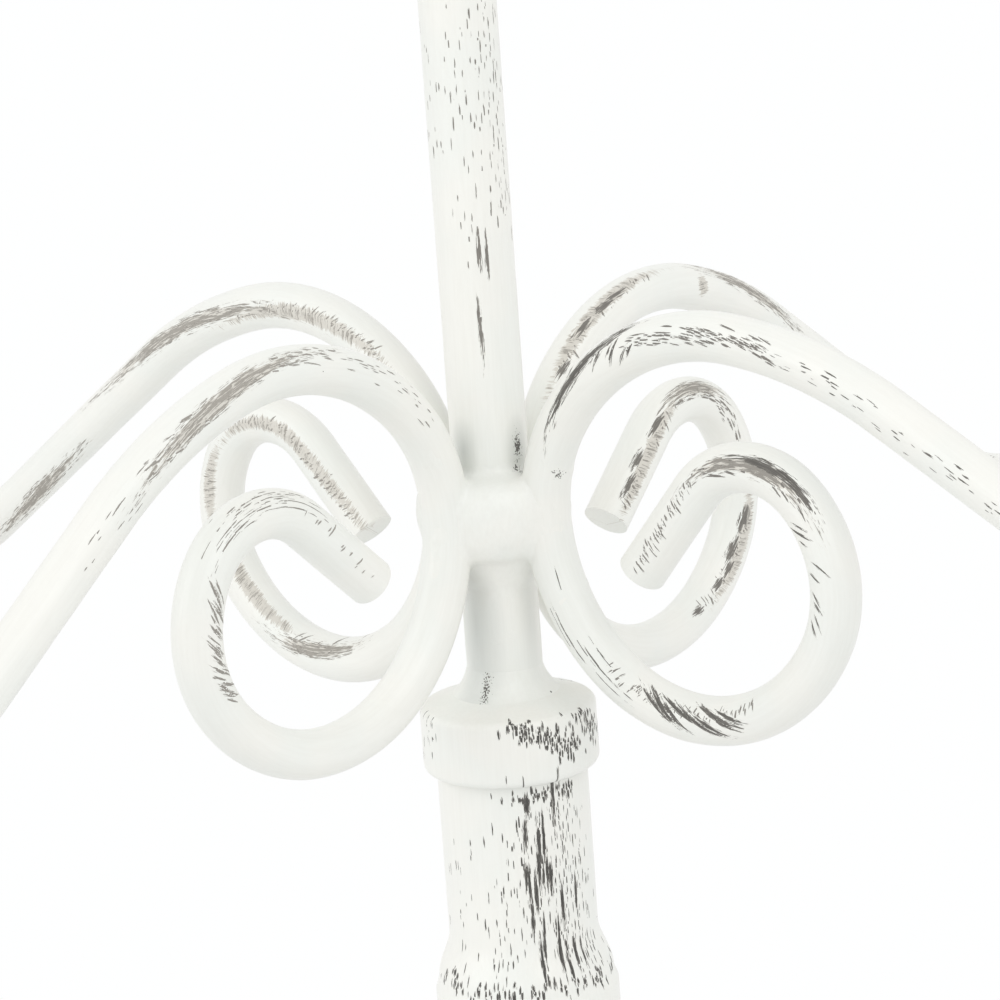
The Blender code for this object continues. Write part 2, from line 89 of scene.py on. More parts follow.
# Bending table of an arm, from the weld outwards: radius and angle of each bend, fitted to the
# edges in the close view and rounded
ARCH_BENDS = ((0.0205, 40.0), (0.028, 61.0), (0.056, 23.0))
SCROLL_BENDS = ((0.0245, 47.0), (0.021, 102.0), (0.015, 71.0), (0.01025, 96.5))
SCROLL_TAIL = 0.0137
CUP_BEND_RADIUS = 0.047
BAR_RADIUS = 0.003

# How each arm differs: how far it sits out and up at the weld and its tilt in degrees, from the
# same fit, and by how many degrees the arch's last bend falls short
ARM_SETTINGS = {
    "right_front": (0.0005, -0.0013, 4.0, 0.0),
    "right_back": (0.0, -0.0007, -2.5, 3.0),
    "left_back": (0.0, 0.0, -0.5, 0.0),
    "left_front": (0.0005, 0.0020, -4.0, 0.0),
}
ARM_NAMES = tuple(ARM_SETTINGS)
LIGHT_NAMES = ("centre",) + ARM_NAMES

POST_RISE = 0.100  # the post's upper end above the middle of the arm welds
POST_TOP = high("centre_post").z
POST_RADIUS = radius_of("centre_post")
ARM_LEVEL = POST_TOP - POST_RISE
ARM_SEAT = POST_RADIUS + BAR_RADIUS + GAP
ARM_TOP = low("drip_pan_right_front").z - GAP
CUP_REACH = axis_of("drip_pan_right_front").length

# Welds
WELD_HEIGHT = 0.0115
WELD_RADIUS = 0.0097
WELD_END_RADIUS = 0.0066
WELD_RUN_UP = 0.0007
WELD_TOP_DROP = 0.0011
WELD_RUN_DOWN = 0.0052
FOOT_WELD_SPREAD = 0.0009

# Turned column
BODY_RADIUS = 0.0095
RING_RADIUS = 0.0117
RING_HEIGHT = 0.0075
RING_FLARE = 0.0065
NECK_RADIUS = 0.0085
NECK_HEIGHT = 0.0055
LOWER_RING_INSET = 0.018
CAP_SHOULDER_DROP = 0.0018  # from the middle of the cap's dome to its edge
CAP_STEP_DROP = 0.0042  # from the middle of the dome to the inner step
BALUSTER_NECK_RADIUS = 0.00775
ROD_HOLE = 0.0033

# Foot
FOOT_NECK_RADIUS = 0.013
FOOT_STEP_RADIUS = 0.034
FOOT_STEP_HEIGHT = 0.0215
FOOT_EDGE_HEIGHT = 0.0065
FOOT_WALL = 0.0036
FOOT_RIM_WIDTH = 0.0065
FOOT_BOSS_RADIUS = 0.012
FOOT_BOSS_LEVEL = 0.0145

# Drip pans, candle cups and screws
PAN_THICKNESS = 0.0014
PAN_HUB_RADIUS = 0.011
CUP_BORE_RADIUS = 0.0112
CUP_WALL = 0.0015
CUP_LIP = 0.0009
CUP_STEM_HEIGHT = 0.0082
CUP_STEM_RADIUS = 0.0068
SCREW_HOLE = 0.0023
SCREW_HEAD_RADIUS = 0.004
SCREW_HEAD_HEIGHT = 0.0026
SCREW_SLOT = 0.001

# Wear patterns are drawn at this size
STROKE_WIDTH = 0.00015
STROKE_LENGTH = 0.0024
FINE = 0.0003  # longest side of a face where wear is seen close to
# How far each arm's marks, and the post's, fade towards a smear
ARM_FADES = {"right_front": 0.12, "right_back": 0.28, "left_back": 0.52, "left_front": 0.55}
POST_FADE = 0.35
FAR_WEAR_SEED = 41  # of the first arm; each next arm takes the next one
FAR_STRETCH = (116.0, 225.0)  # mm along an arm, past the close view's edges
SHADE_REACH = 0.0088  # from the post's axis; the painted shade in the crevices ends there
REACH_LOSS = 0.55  # of a rub's strength, from its middle line to its edge
OFF_ANY_RUB = 9.0  # place of a corner that no rub covers, in half widths
STROKE_STEP = 7.3  # between two rubs' strokes in the noise, so that they don't repeat
STIPPLE_SIZE = 0.00022
DRIFT_SIZE = 0.011  # of the patches where the coat's colour drifts
BARED_DEPTH = 0.00004

BARS_PAINT = "worn paint on bars"
TURNINGS_PAINT = "worn paint on turnings"
WELDS_PAINT = "worn paint on welds"
STEEL = "fastener steel"

CLOSE_STEPS = 240  # facets round a turned piece that is seen close to
SHARP_ANGLE = 38.0

# Floor, lamps and camera
FLOOR_RADIUS = 12.0
FLOOR_FADE = (0.22, 0.60)  # the floor fades into the backdrop between these distances
LAMP_SIZE = 1.2
KEY_PLACE = (1.3, -0.3, 1.4)
FILL_PLACE = (-0.6, -1.3, 1.0)
# The camera, fitted to the same edges: from the middle of the arm welds, turned from +Y in degrees
CAMERA_OFFSET = Vector((0.2899, -0.3170, 0.1004))
CAMERA_HEADING = -42.33
CAMERA_PITCH = -13.06
CAMERA_ROLL = -4.09
CAMERA_LENS = 128.1


class Rub(NamedTuple):
    """A rubbed place from one point to another: each is mm along the piece and degrees round it.

    The width is in mm, and a width of 0 goes all round the piece between the two heights. Strokes
    inside the place run along it, or lean from it by some degrees. dark bares the iron, faint
    fades what dark bares, thin shows the undercoat, dots stipples, and shade greys the coat as painted shade
    in a crevice.
    """

    start: tuple
    end: tuple
    width: float
    lean: float = 0.0
    dark: float = 1.0
    thin: float = 0.0
    dots: float = 0.0
    faint: float = 0.0
    shade: float = 0.0


def colour_setting(name, description, default):
    return bpy.props.FloatVectorProperty(
        name=name, description=description, subtype="COLOR", size=3, min=0.0, max=1.0, default=default)


def length_setting(name, description, default, least=0.0):
    return bpy.props.FloatProperty(
        name=name, description=description, unit="LENGTH", min=least, default=default)


def count_setting(name, description, default, least=0):
    return bpy.props.IntProperty(name=name, description=description, min=least, default=default)


def strength_setting(name, description, default, unit="POWER"):
    return bpy.props.FloatProperty(name=name, description=description, unit=unit, min=0.0, default=default)


class PaintSettings(bpy.types.PropertyGroup):
    coat: colour_setting("Coat", "Colour of the top coat", (0.895, 0.890, 0.845))
    cool_coat: colour_setting("Cool coat", "Colour that the top coat drifts to", (0.870, 0.880, 0.840))
    undercoat: colour_setting("Undercoat", "Colour of paint rubbed thin", (0.60, 0.56, 0.495))
    iron: colour_setting("Iron", "Colour where the paint is rubbed through", (0.050, 0.048, 0.043))
    worn_iron: colour_setting("Worn iron", "Lighter tone inside the rubbed places", (0.150, 0.141, 0.128))
    smear: colour_setting("Smear", "Colour of a mark that is only a smear", (0.47, 0.44, 0.395))
    # Painted shade: a grey that stands in for the shade falling in the crevices, not a thinner coat
    crevice_shade: colour_setting("Crevice", "Colour of the thin grey coat in crevices", (0.36, 0.39, 0.38))
    roughness: bpy.props.FloatProperty(
        name="Roughness", description="Roughness of the top coat", subtype="FACTOR",
        min=0.0, max=1.0, default=0.46)
    build_up: length_setting("Build-up", "How far the coat swells and thins", 0.00006)


class FormSettings(bpy.types.PropertyGroup):
    ring_spacing: length_setting("Ring spacing", "Distance between a bar's rings", 0.00030, 0.0001)
    bar_sides: count_setting("Bar sides", "Facets round a bar", 80, 8)
    turn_steps: count_setting("Turn steps", "Facets round a turned piece", 144, 16)
    weld_voxel: length_setting(
        "Weld grain", "Size of the cells that the welds are run together in", 0.00028, 0.0001)
    weld_flow: count_setting("Weld flow", "How often the welds are smoothed", 46)


class StageSettings(bpy.types.PropertyGroup):
    floor_colour: colour_setting("Floor", "Colour of the floor", (0.86, 0.865, 0.865))
    backdrop: colour_setting("Backdrop", "Colour behind the object", (0.995, 1.0, 1.0))
    sky_strength: strength_setting("Sky strength", "Strength of the even light", 0.86, "NONE")
    key_power: strength_setting("Key power", "Power of the large soft lamp", 5.8)
    fill_power: strength_setting("Fill power", "Power of the lamp opposite", 4.8)


# Small tools for node trees

def new_tree(name, kind):
    """A node group and its two end nodes."""
    tree = bpy.data.node_groups.new(name, kind)
    tree.nodes.new("NodeGroupInput")
    tree.nodes.new("NodeGroupOutput").location = (2400, 0)
    return tree


def add_socket(tree, name, kind, default=None, outgoing=False):
    """Adds a socket to a group and gives its inside end."""
    way = "OUTPUT" if outgoing else "INPUT"
    socket = tree.interface.new_socket(name, in_out=way, socket_type="NodeSocket" + kind)
    if default is not None:
        socket.default_value = default
    if outgoing:
        return tree.nodes["Group Output"].inputs[name]
    return tree.nodes["Group Input"].outputs[name]


def add_node(tree, kind, inputs=None, **settings):
    """A node with its settings; each input is a plain value or another node's output."""
    node = tree.nodes.new(kind)
    node.location = (190 * (len(tree.nodes) % 12), -230 * (len(tree.nodes) // 12))
    for name, value in settings.items():
        setattr(node, name, value)
    for key, value in (inputs or {}).items():
        if isinstance(value, bpy.types.NodeSocket):
            tree.links.new(value, node.inputs[key])
        else:
            node.inputs[key].default_value = value
    return node


def maths(tree, operation, first, second=0.0, clamp=False):
    node = add_node(tree, "ShaderNodeMath", {0: first, 1: second}, operation=operation, use_clamp=clamp)
    return node.outputs[0]


def vector_maths(tree, operation, first, second):
    """A vector sum or product, or for SCALE a vector times a number."""
    key = "Scale" if operation == "SCALE" else 1
    node = add_node(tree, "ShaderNodeVectorMath", {0: first, key: second}, operation=operation)
    return node.outputs[0]


def ramp(tree, value, start, end, out_start=0.0, out_end=1.0):
    """A smooth rise of value from start to end."""
    node = add_node(tree, "ShaderNodeMapRange", {
        "Value": value, "From Min": start, "From Max": end, "To Min": out_start, "To Max": out_end,
    }, interpolation_type="SMOOTHSTEP")
    return node.outputs[0]


def noise(tree, vector, scale, detail=2.0, roughness=0.5, distortion=0.0):
    node = add_node(tree, "ShaderNodeTexNoise", {
        "Vector": vector, "Scale": scale, "Detail": detail, "Roughness": roughness,
        "Distortion": distortion,
    })
    return node.outputs["Fac"]


def opaque(value):
    """A colour with full alpha, or a node's output as it is."""
    return value if isinstance(value, bpy.types.NodeSocket) else (*value[:3], 1.0)


def mix_colour(tree, share, first, second):
    node = add_node(tree, "ShaderNodeMix", {0: share, 6: opaque(first), 7: opaque(second)}, data_type="RGBA")
    return node.outputs[2]


def attribute(tree, name):
    """Outputs of an attribute that a piece's mesh carries."""
    return add_node(tree, "ShaderNodeAttribute", attribute_name=name).outputs


def use_group(tree, name, inputs):
    return add_node(tree, "ShaderNodeGroup", inputs, node_tree=bpy.data.node_groups[name]).outputs


def new_material(name):
    """A material, its tree and its shader."""
    material = bpy.data.materials.new(name)
    material.use_nodes = True
    return material, material.node_tree, material.node_tree.nodes["Principled BSDF"]


def finish_tree(tree, geometry, finish, result):
    """Ends a geometry tree with whole geometry in its material."""
    whole = add_node(tree, "GeometryNodeRealizeInstances", {"Geometry": geometry})
    painted = add_node(tree, "GeometryNodeSetMaterial", {"Geometry": whole.outputs[0], "Material": finish})
    tree.links.new(painted.outputs[0], result)


def set_tree(obj, name, **values):
    """Puts a geometry tree on an object and sets its inputs by their identifiers."""
    tree = bpy.data.node_groups[name]
    modifier = obj.modifiers.new(name, "NODES")
    modifier.node_group = tree
    for item in tree.interface.items_tree:
        if item.item_type == "SOCKET" and item.in_out == "INPUT" and item.name in values:
            modifier[item.identifier] = values[item.name]


# Shader groups that the paints share

def make_stroke_group():
    """Where strokes of wear break through: a ragged mask that follows each place's own strokes."""
    tree = new_tree("rub strokes", "ShaderNodeTree")
    strokes = add_socket(tree, "Strokes", "Vector")
    wear = add_socket(tree, "Wear", "Float", 0.0)
    ragged = add_socket(tree, "Raggedness", "Float", 0.75)
    mask = add_socket(tree, "Mask", "Float", outgoing=True)
    tone = add_socket(tree, "Tone", "Float", outgoing=True)
    sized = vector_maths(tree, "MULTIPLY", strokes, (1 / STROKE_WIDTH, 1 / STROKE_LENGTH, 1.0))
    coarse = noise(tree, sized, 0.5, 2.0, 0.55, 0.3)
    fine = noise(tree, sized, 1.6, 2.0, 0.6, 0.2)
    blend = maths(tree, "ADD", maths(tree, "MULTIPLY", coarse, 0.45), maths(tree, "MULTIPLY", fine, 0.55))
    swing = maths(tree, "MULTIPLY", ramp(tree, blend, 0.36, 0.64, -0.5, 0.5), ragged)
    level = maths(tree, "ADD", swing, wear)
    tree.links.new(ramp(tree, level, 0.50, 0.57), mask)
    depth = ramp(tree, level, 0.60, 1.20, 0.7, 0.0)
    streak = ramp(tree, noise(tree, sized, 2.3, 2.0, 0.6), 0.35, 0.65, -0.35, 0.45)
    tree.links.new(maths(tree, "ADD", depth, streak, clamp=True), tone)


def make_brush_group():
    """Fine ridges that a brush leaves along the grain, as a height from 0 to 1."""
    tree = new_tree("brush ridges", "ShaderNodeTree")
    grain = add_socket(tree, "Grain", "Vector")
    width = add_socket(tree, "Width", "Float", 0.0004)
    stretch = add_socket(tree, "Stretch", "Float", 14.0)
    height = add_socket(tree, "Height", "Float", outgoing=True)
    along = maths(tree, "DIVIDE", 1.0, stretch)
    scaled = vector_maths(tree, "SCALE", grain, maths(tree, "DIVIDE", 1.0, width))
    parts = add_node(tree, "ShaderNodeSeparateXYZ", {0: scaled})
    drawn = add_node(tree, "ShaderNodeCombineXYZ", {
        0: parts.outputs[0], 1: parts.outputs[1], 2: maths(tree, "MULTIPLY", parts.outputs[2], along),
    })
    tree.links.new(noise(tree, drawn.outputs[0], 1.0, 3.0, 0.55), height)


def make_speck_group():
    """Small dark specks, one in a few cells."""
    tree = new_tree("specks", "ShaderNodeTree")
    grain = add_socket(tree, "Grain", "Vector")
    spacing = add_socket(tree, "Spacing", "Float", 0.0016)
    amount = add_socket(tree, "Amount", "Float", 0.06)
    size = add_socket(tree, "Size", "Float", 0.10)
    mask = add_socket(tree, "Mask", "Float", outgoing=True)
    scaled = vector_maths(tree, "SCALE", grain, maths(tree, "DIVIDE", 1.0, spacing))
    cells = add_node(tree, "ShaderNodeTexVoronoi", {"Vector": scaled, "Scale": 1.0, "Randomness": 1.0})
    chosen = add_node(tree, "ShaderNodeSeparateColor", {0: cells.outputs["Color"]})
    kept = maths(tree, "LESS_THAN", chosen.outputs[0], amount)
    reach = maths(tree, "MULTIPLY", size, maths(tree, "ADD", chosen.outputs[1], 0.4))
    inside = maths(tree, "LESS_THAN", cells.outputs["Distance"], reach)
    tree.links.new(maths(tree, "MULTIPLY", kept, inside), mask)


def make_dot_group():
    """Dense stipple of tiny pits, as where spray or dust has not reached into a hollow."""
    tree = new_tree("stipple", "ShaderNodeTree")
    grain = add_socket(tree, "Grain", "Vector")
    amount = add_socket(tree, "Amount", "Float", 0.0)
    mask = add_socket(tree, "Mask", "Float", outgoing=True)
    scaled = vector_maths(tree, "SCALE", grain, 1 / STIPPLE_SIZE)
    spots = noise(tree, scaled, 1.0, 1.0, 0.5)
    level = maths(tree, "ADD", spots, maths(tree, "MULTIPLY", amount, 0.5))
    tree.links.new(ramp(tree, level, 0.86, 0.94), mask)


def make_paint(name, stretch, ridge_depth, speck_amount):
    """Brushed off-white paint, rubbed thin and through to the iron where the attributes say, with painted
    shade greying the coat in the crevices.
    """
    paint = bpy.context.scene.candelabra_paint
    material, tree, shader = new_material(name)
    strokes = attribute(tree, "strokes")["Vector"]
    grain = attribute(tree, "grain")["Vector"]
    within = add_node(tree, "ShaderNodeSeparateXYZ", {0: attribute(tree, "place")["Vector"]}).outputs
    squares = [maths(tree, "MULTIPLY", within[axis], within[axis]) for axis in (0, 1)]
    loss = maths(tree, "MULTIPLY", maths(tree, "SQRT", maths(tree, "ADD", *squares)), REACH_LOSS)
    dark = maths(tree, "MULTIPLY", maths(tree, "SUBTRACT", 1.0, loss), within[2])
    softer = add_node(tree, "ShaderNodeSeparateXYZ", {0: attribute(tree, "soft_wear")["Vector"]}).outputs

    broken = use_group(tree, "rub strokes", {"Strokes": strokes, "Wear": dark, "Raggedness": 0.85})
    soft = use_group(tree, "rub strokes", {
        "Strokes": strokes, "Wear": maths(tree, "MULTIPLY", softer[0], 1.25), "Raggedness": 0.55})
    halo = use_group(tree, "rub strokes", {
        "Strokes": strokes, "Wear": maths(tree, "ADD", dark, 0.08), "Raggedness": 0.85})
    specks = use_group(tree, "specks", {"Grain": grain, "Amount": speck_amount})
    stipple = use_group(tree, "stipple", {"Grain": grain, "Amount": softer[1]})
    ridges = use_group(tree, "brush ridges", {"Grain": grain, "Stretch": stretch})

    drift = noise(tree, grain, 1 / DRIFT_SIZE, 2.0)
    coat = mix_colour(tree, ramp(tree, drift, 0.35, 0.65), paint.coat, paint.cool_coat)
    streaked = mix_colour(tree, ramp(tree, ridges["Height"], 0.3, 0.75, 0.0, 0.07), coat, paint.undercoat)
    thinned = mix_colour(tree, maths(tree, "MULTIPLY", soft["Mask"], 0.70), streaked, paint.undercoat)
    feathered = mix_colour(tree, maths(tree, "MULTIPLY", halo["Mask"], 0.55), thinned, paint.undercoat)
    # Painted shade: greys the coat towards the crevice shade colour where the third part of the soft wear
    # says
    shaded = mix_colour(tree, softer[2], feathered, paint.crevice_shade)
    iron = mix_colour(tree, broken["Tone"], paint.iron, paint.worn_iron)
    iron = mix_colour(tree, attribute(tree, "faint")["Fac"], iron, paint.smear)
    marks = maths(tree, "MAXIMUM", broken["Mask"], maths(tree, "MAXIMUM", specks["Mask"], stipple["Mask"]))
    tree.links.new(mix_colour(tree, marks, shaded, iron), shader.inputs["Base Color"])
    tree.links.new(ramp(tree, marks, 0.0, 1.0, paint.roughness, 0.62), shader.inputs["Roughness"])
    tree.links.new(ramp(tree, marks, 0.0, 1.0, 0.35, 0.0), shader.inputs["Coat Weight"])
    shader.inputs["Coat Roughness"].default_value = 0.28

    relief = maths(tree, "SUBTRACT", maths(tree, "MULTIPLY", ridges["Height"], ridge_depth),
                   maths(tree, "MULTIPLY", broken["Mask"], BARED_DEPTH))
    bump = add_node(tree, "ShaderNodeBump", {"Height": relief, "Distance": 1.0, "Strength": 1.0})
    tree.links.new(bump.outputs[0], shader.inputs["Normal"])
    return material


def make_steel():
    """Plain zinc-grey steel with turning marks and dull patches."""
    material, tree, shader = new_material(STEEL)
    place = add_node(tree, "ShaderNodeTexCoord").outputs["Object"]
    dull = noise(tree, place, 1 / 0.0018, 4.0, 0.6)
    turning = noise(tree, vector_maths(tree, "MULTIPLY", place, (300.0, 300.0, 9000.0)), 1.0, 2.0)
    colour = mix_colour(tree, ramp(tree, dull, 0.35, 0.7), (0.52, 0.52, 0.53), (0.33, 0.32, 0.31))
    tree.links.new(colour, shader.inputs["Base Color"])
    shader.inputs["Metallic"].default_value = 1.0
    tree.links.new(ramp(tree, dull, 0.3, 0.75, 0.28, 0.5), shader.inputs["Roughness"])
    bump = add_node(tree, "ShaderNodeBump", {
        "Height": maths(tree, "MULTIPLY", turning, 0.00001), "Distance": 1.0, "Strength": 1.0})
    tree.links.new(bump.outputs[0], shader.inputs["Normal"])
    return material


# Geometry trees

def make_bar_tree():
    """Sweeps a round bar along a path whose own radius rounds the bar's ends."""
    tree = new_tree("painted bar", "GeometryNodeTree")
    path = add_socket(tree, "Geometry", "Geometry")
    radius = add_socket(tree, "Radius", "Float", BAR_RADIUS)
    sides = add_socket(tree, "Sides", "Int", 60)
    result = add_socket(tree, "Geometry", "Geometry", outgoing=True)
    length = add_node(tree, "GeometryNodeSplineParameter").outputs["Length"]
    marked = add_node(tree, "GeometryNodeStoreNamedAttribute", {
        "Geometry": path, "Name": "along", "Value": length,
    }, data_type="FLOAT", domain="POINT")
    section = add_node(tree, "GeometryNodeCurvePrimitiveCircle", {"Resolution": sides, "Radius": radius})
    swept = add_node(tree, "GeometryNodeCurveToMesh", {
        "Curve": marked.outputs[0], "Profile Curve": section.outputs[0], "Fill Caps": True})
    smooth = add_node(tree, "GeometryNodeSetShadeSmooth", {"Geometry": swept.outputs[0]})
    tree.links.new(smooth.outputs[0], result)


def make_build_up_tree():
    """Lets the coat swell and thin a little over a surface, and gives it its paint."""
    tree = new_tree("paint build-up", "GeometryNodeTree")
    surface = add_socket(tree, "Geometry", "Geometry")
    depth = add_socket(tree, "Depth", "Float", 0.00006)
    wavelength = add_socket(tree, "Wavelength", "Float", 0.007)
    paint = add_socket(tree, "Paint", "Material")
    result = add_socket(tree, "Geometry", "Geometry", outgoing=True)
    place = add_node(tree, "GeometryNodeInputPosition").outputs[0]
    scaled = vector_maths(tree, "SCALE", place, maths(tree, "DIVIDE", 1.0, wavelength))
    swell = maths(tree, "SUBTRACT", noise(tree, scaled, 1.0, 2.0), 0.5)
    reach = maths(tree, "MULTIPLY", swell, maths(tree, "MULTIPLY", depth, 2.0))
    normal = add_node(tree, "GeometryNodeInputNormal").outputs[0]
    moved = add_node(tree, "GeometryNodeSetPosition", {
        "Geometry": surface, "Offset": vector_maths(tree, "SCALE", normal, reach)})
    finish_tree(tree, moved.outputs[0], paint, result)


def make_seat_tree():
    """Sets a copy of one piece on each seat, each turned by its own amount."""
    tree = new_tree("set on seats", "GeometryNodeTree")
    seats = add_socket(tree, "Geometry", "Geometry")
    piece = add_socket(tree, "Piece", "Object")
    seed = add_socket(tree, "Seed", "Int", 3)
    finish = add_socket(tree, "Finish", "Material")
    result = add_socket(tree, "Geometry", "Geometry", outgoing=True)
    points = add_node(tree, "GeometryNodeMeshToPoints", {"Mesh": seats})
    shape = add_node(tree, "GeometryNodeObjectInfo", {"Object": piece})
    turn = add_node(tree, "FunctionNodeRandomValue", {"Seed": seed}, data_type="FLOAT")
    turn.inputs[3].default_value = math.tau
    angles = add_node(tree, "ShaderNodeCombineXYZ", {2: turn.outputs[1]})
    copies = add_node(tree, "GeometryNodeInstanceOnPoints", {
        "Points": points.outputs[0], "Instance": shape.outputs["Geometry"], "Rotation": angles.outputs[0]})
    finish_tree(tree, copies.outputs[0], finish, result)


# Mesh tools

def add_object(name, data):
    obj = bpy.data.objects.new(name, data)
    bpy.context.scene.collection.objects.link(obj)
    return obj


def settle(obj, sharp=None):
    """Turns an object and its modifiers into one plain mesh under the same name."""
    depsgraph = bpy.context.evaluated_depsgraph_get()
    mesh = bpy.data.meshes.new_from_object(obj.evaluated_get(depsgraph), depsgraph=depsgraph)
    name = obj.name
    bpy.data.objects.remove(obj)
    mesh.name = name
    settled = add_object(name, mesh)
    if sharp is not None:
        mesh.shade_smooth()
        mesh.set_sharp_from_angle(angle=math.radians(sharp))
    return settled


def coated(obj, paint, wavelength, depth=None, sharp=None):
    """Lays the coat on an object and turns it into one plain mesh."""
    if depth is None:
        depth = bpy.context.scene.candelabra_paint.build_up
    set_tree(obj, "paint build-up", Depth=depth, Wavelength=wavelength, Paint=bpy.data.materials[paint])
    return settle(obj, sharp)


def hand_over(obj, nodes):
    """The piece rides on the frame and stands for its nodes."""
    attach(obj, BODY)
    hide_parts(*nodes)


def arc(radius_at, height_at, radius, start, end, steps):
    """Points of an arc in an outline, angles in degrees."""
    angles = (math.radians(start + (end - start) * step / steps) for step in range(steps + 1))
    return [(radius_at + radius * math.cos(a), height_at + radius * math.sin(a)) for a in angles]


def oval(middle, reach, angles):
    """Points of an oval in an outline at some angles in degrees; the reach is across and up."""
    turns = (math.radians(angle) for angle in angles)
    return [(middle[0] + reach[0] * math.cos(a), middle[1] + reach[1] * math.sin(a)) for a in turns]


def ease(start, end, steps):
    """An S-shaped sweep between two points of an outline, level with the axis at both ends."""
    points = []
    for step in range(steps + 1):
        share = step / steps
        across = (1 - math.cos(math.pi * share)) / 2
        points.append((start[0] + (end[0] - start[0]) * across, start[1] + (end[1] - start[1]) * share))
    return points


def bead(radius, top, height, depth, steps):
    """A half-round bead that stands out by depth, from the top down."""
    angles = (math.pi * step / steps for step in range(steps + 1))
    return [(radius + depth * math.sin(a), top - height * (1 - math.cos(a)) / 2) for a in angles]


def soften(outline, radius, least=24.0, steps=3):
    """Rounds the corners of a closed outline that turn by more than the least angle."""
    softened = []
    count = len(outline)
    for index, corner in enumerate(outline):
        here = Vector(corner)
        before = Vector(outline[index - 1]) - here
        after = Vector(outline[(index + 1) % count]) - here
        if min(before.length, after.length) < 1e-7:
            continue
        if math.degrees(before.angle(-after, 0.0)) < least:
            softened.append(corner)
            continue
        reach = min(radius, 0.45 * before.length, 0.45 * after.length)
        start = here + before.normalized() * reach
        end = here + after.normalized() * reach
        for step in range(steps + 1):
            share = step / steps
            point = start * (1 - share) ** 2 + here * 2 * share * (1 - share) + end * share ** 2
            softened.append(tuple(point))
    return softened


def turned(name, outline, steps, round_corners=0.0003, longest=0.0008):
    """Turns a closed outline of (radius, height) points about the Z axis; no outer run is left long."""
    loop = soften(outline, round_corners) if round_corners else list(outline)
    points = []
    for index, point in enumerate(loop):
        after = loop[(index + 1) % len(loop)]
        hidden = max(point[0], after[0]) < 1.5 * ROD_HOLE
        pieces = 1 if hidden else max(1, math.ceil(math.dist(point, after) / longest))
        for piece in range(pieces):
            share = piece / pieces
            points.append((point[0] + (after[0] - point[0]) * share, 0.0,
                           point[1] + (after[1] - point[1]) * share))
    mesh = bpy.data.meshes.new(name)
    mesh.from_pydata(points, [(index, (index + 1) % len(points)) for index in range(len(points))], [])
    obj = add_object(name, mesh)
    screw = obj.modifiers.new("turn", "SCREW")
    screw.steps = screw.render_steps = steps
    screw.use_merge_vertices = True
    screw.merge_threshold = 0.00001
    screw.use_smooth_shade = True
    return obj


# Surface places and their wear

class Surface(NamedTuple):
    """Where each vertex lies on its piece: along it, round it in radians, out from its middle."""

    along: np.ndarray
    around: np.ndarray
    out: np.ndarray


def vertex_places(mesh):
    places = np.empty(len(mesh.vertices) * 3, np.float32)
    mesh.vertices.foreach_get("co", places)
    return places.reshape(-1, 3).astype(float)


def upright_surface(mesh, axes, edge=None):
    """Places on pieces turned about upright axes; each vertex belongs to the nearest axis.

    With an edge radius, the way in from the edge counts as height, so wear stays off the top.
    """
    places = vertex_places(mesh)
    offsets = np.stack([places - np.array(axis) for axis in axes])
    offsets[:, :, 2] = 0.0
    own = np.linalg.norm(offsets, axis=2).argmin(axis=0)
    near = offsets[own, np.arange(len(places))]
    out = np.linalg.norm(near, axis=1)
    height = places[:, 2] if edge is None else places[:, 2] + edge - out
    return Surface(height, np.arctan2(near[:, 1], near[:, 0]), out)


def write_vectors(mesh, name, values, domain="POINT"):
    attribute = mesh.attributes.new(name, "FLOAT_VECTOR", domain)
    attribute.data.foreach_set("vector", np.asarray(values, np.float32).ravel())


def within_rub(surface, rub):
    """How far each vertex lies across and along a rub, in metres, and the rub's length."""
    long = (rub.end[0] - rub.start[0]) * MM
    turn = surface.out * math.radians(rub.end[1] - rub.start[1])
    up = surface.along - (rub.start[0] + rub.end[0]) / 2 * MM
    around = surface.around - math.radians((rub.start[1] + rub.end[1]) / 2)
    across = surface.out * ((around + math.pi) % math.tau - math.pi)
    if rub.width == 0.0:
        return across, up, np.full(len(up), abs(long))
    length = np.hypot(long, turn)
    return (across * long - up * turn) / length, (up * long + across * turn) / length, length


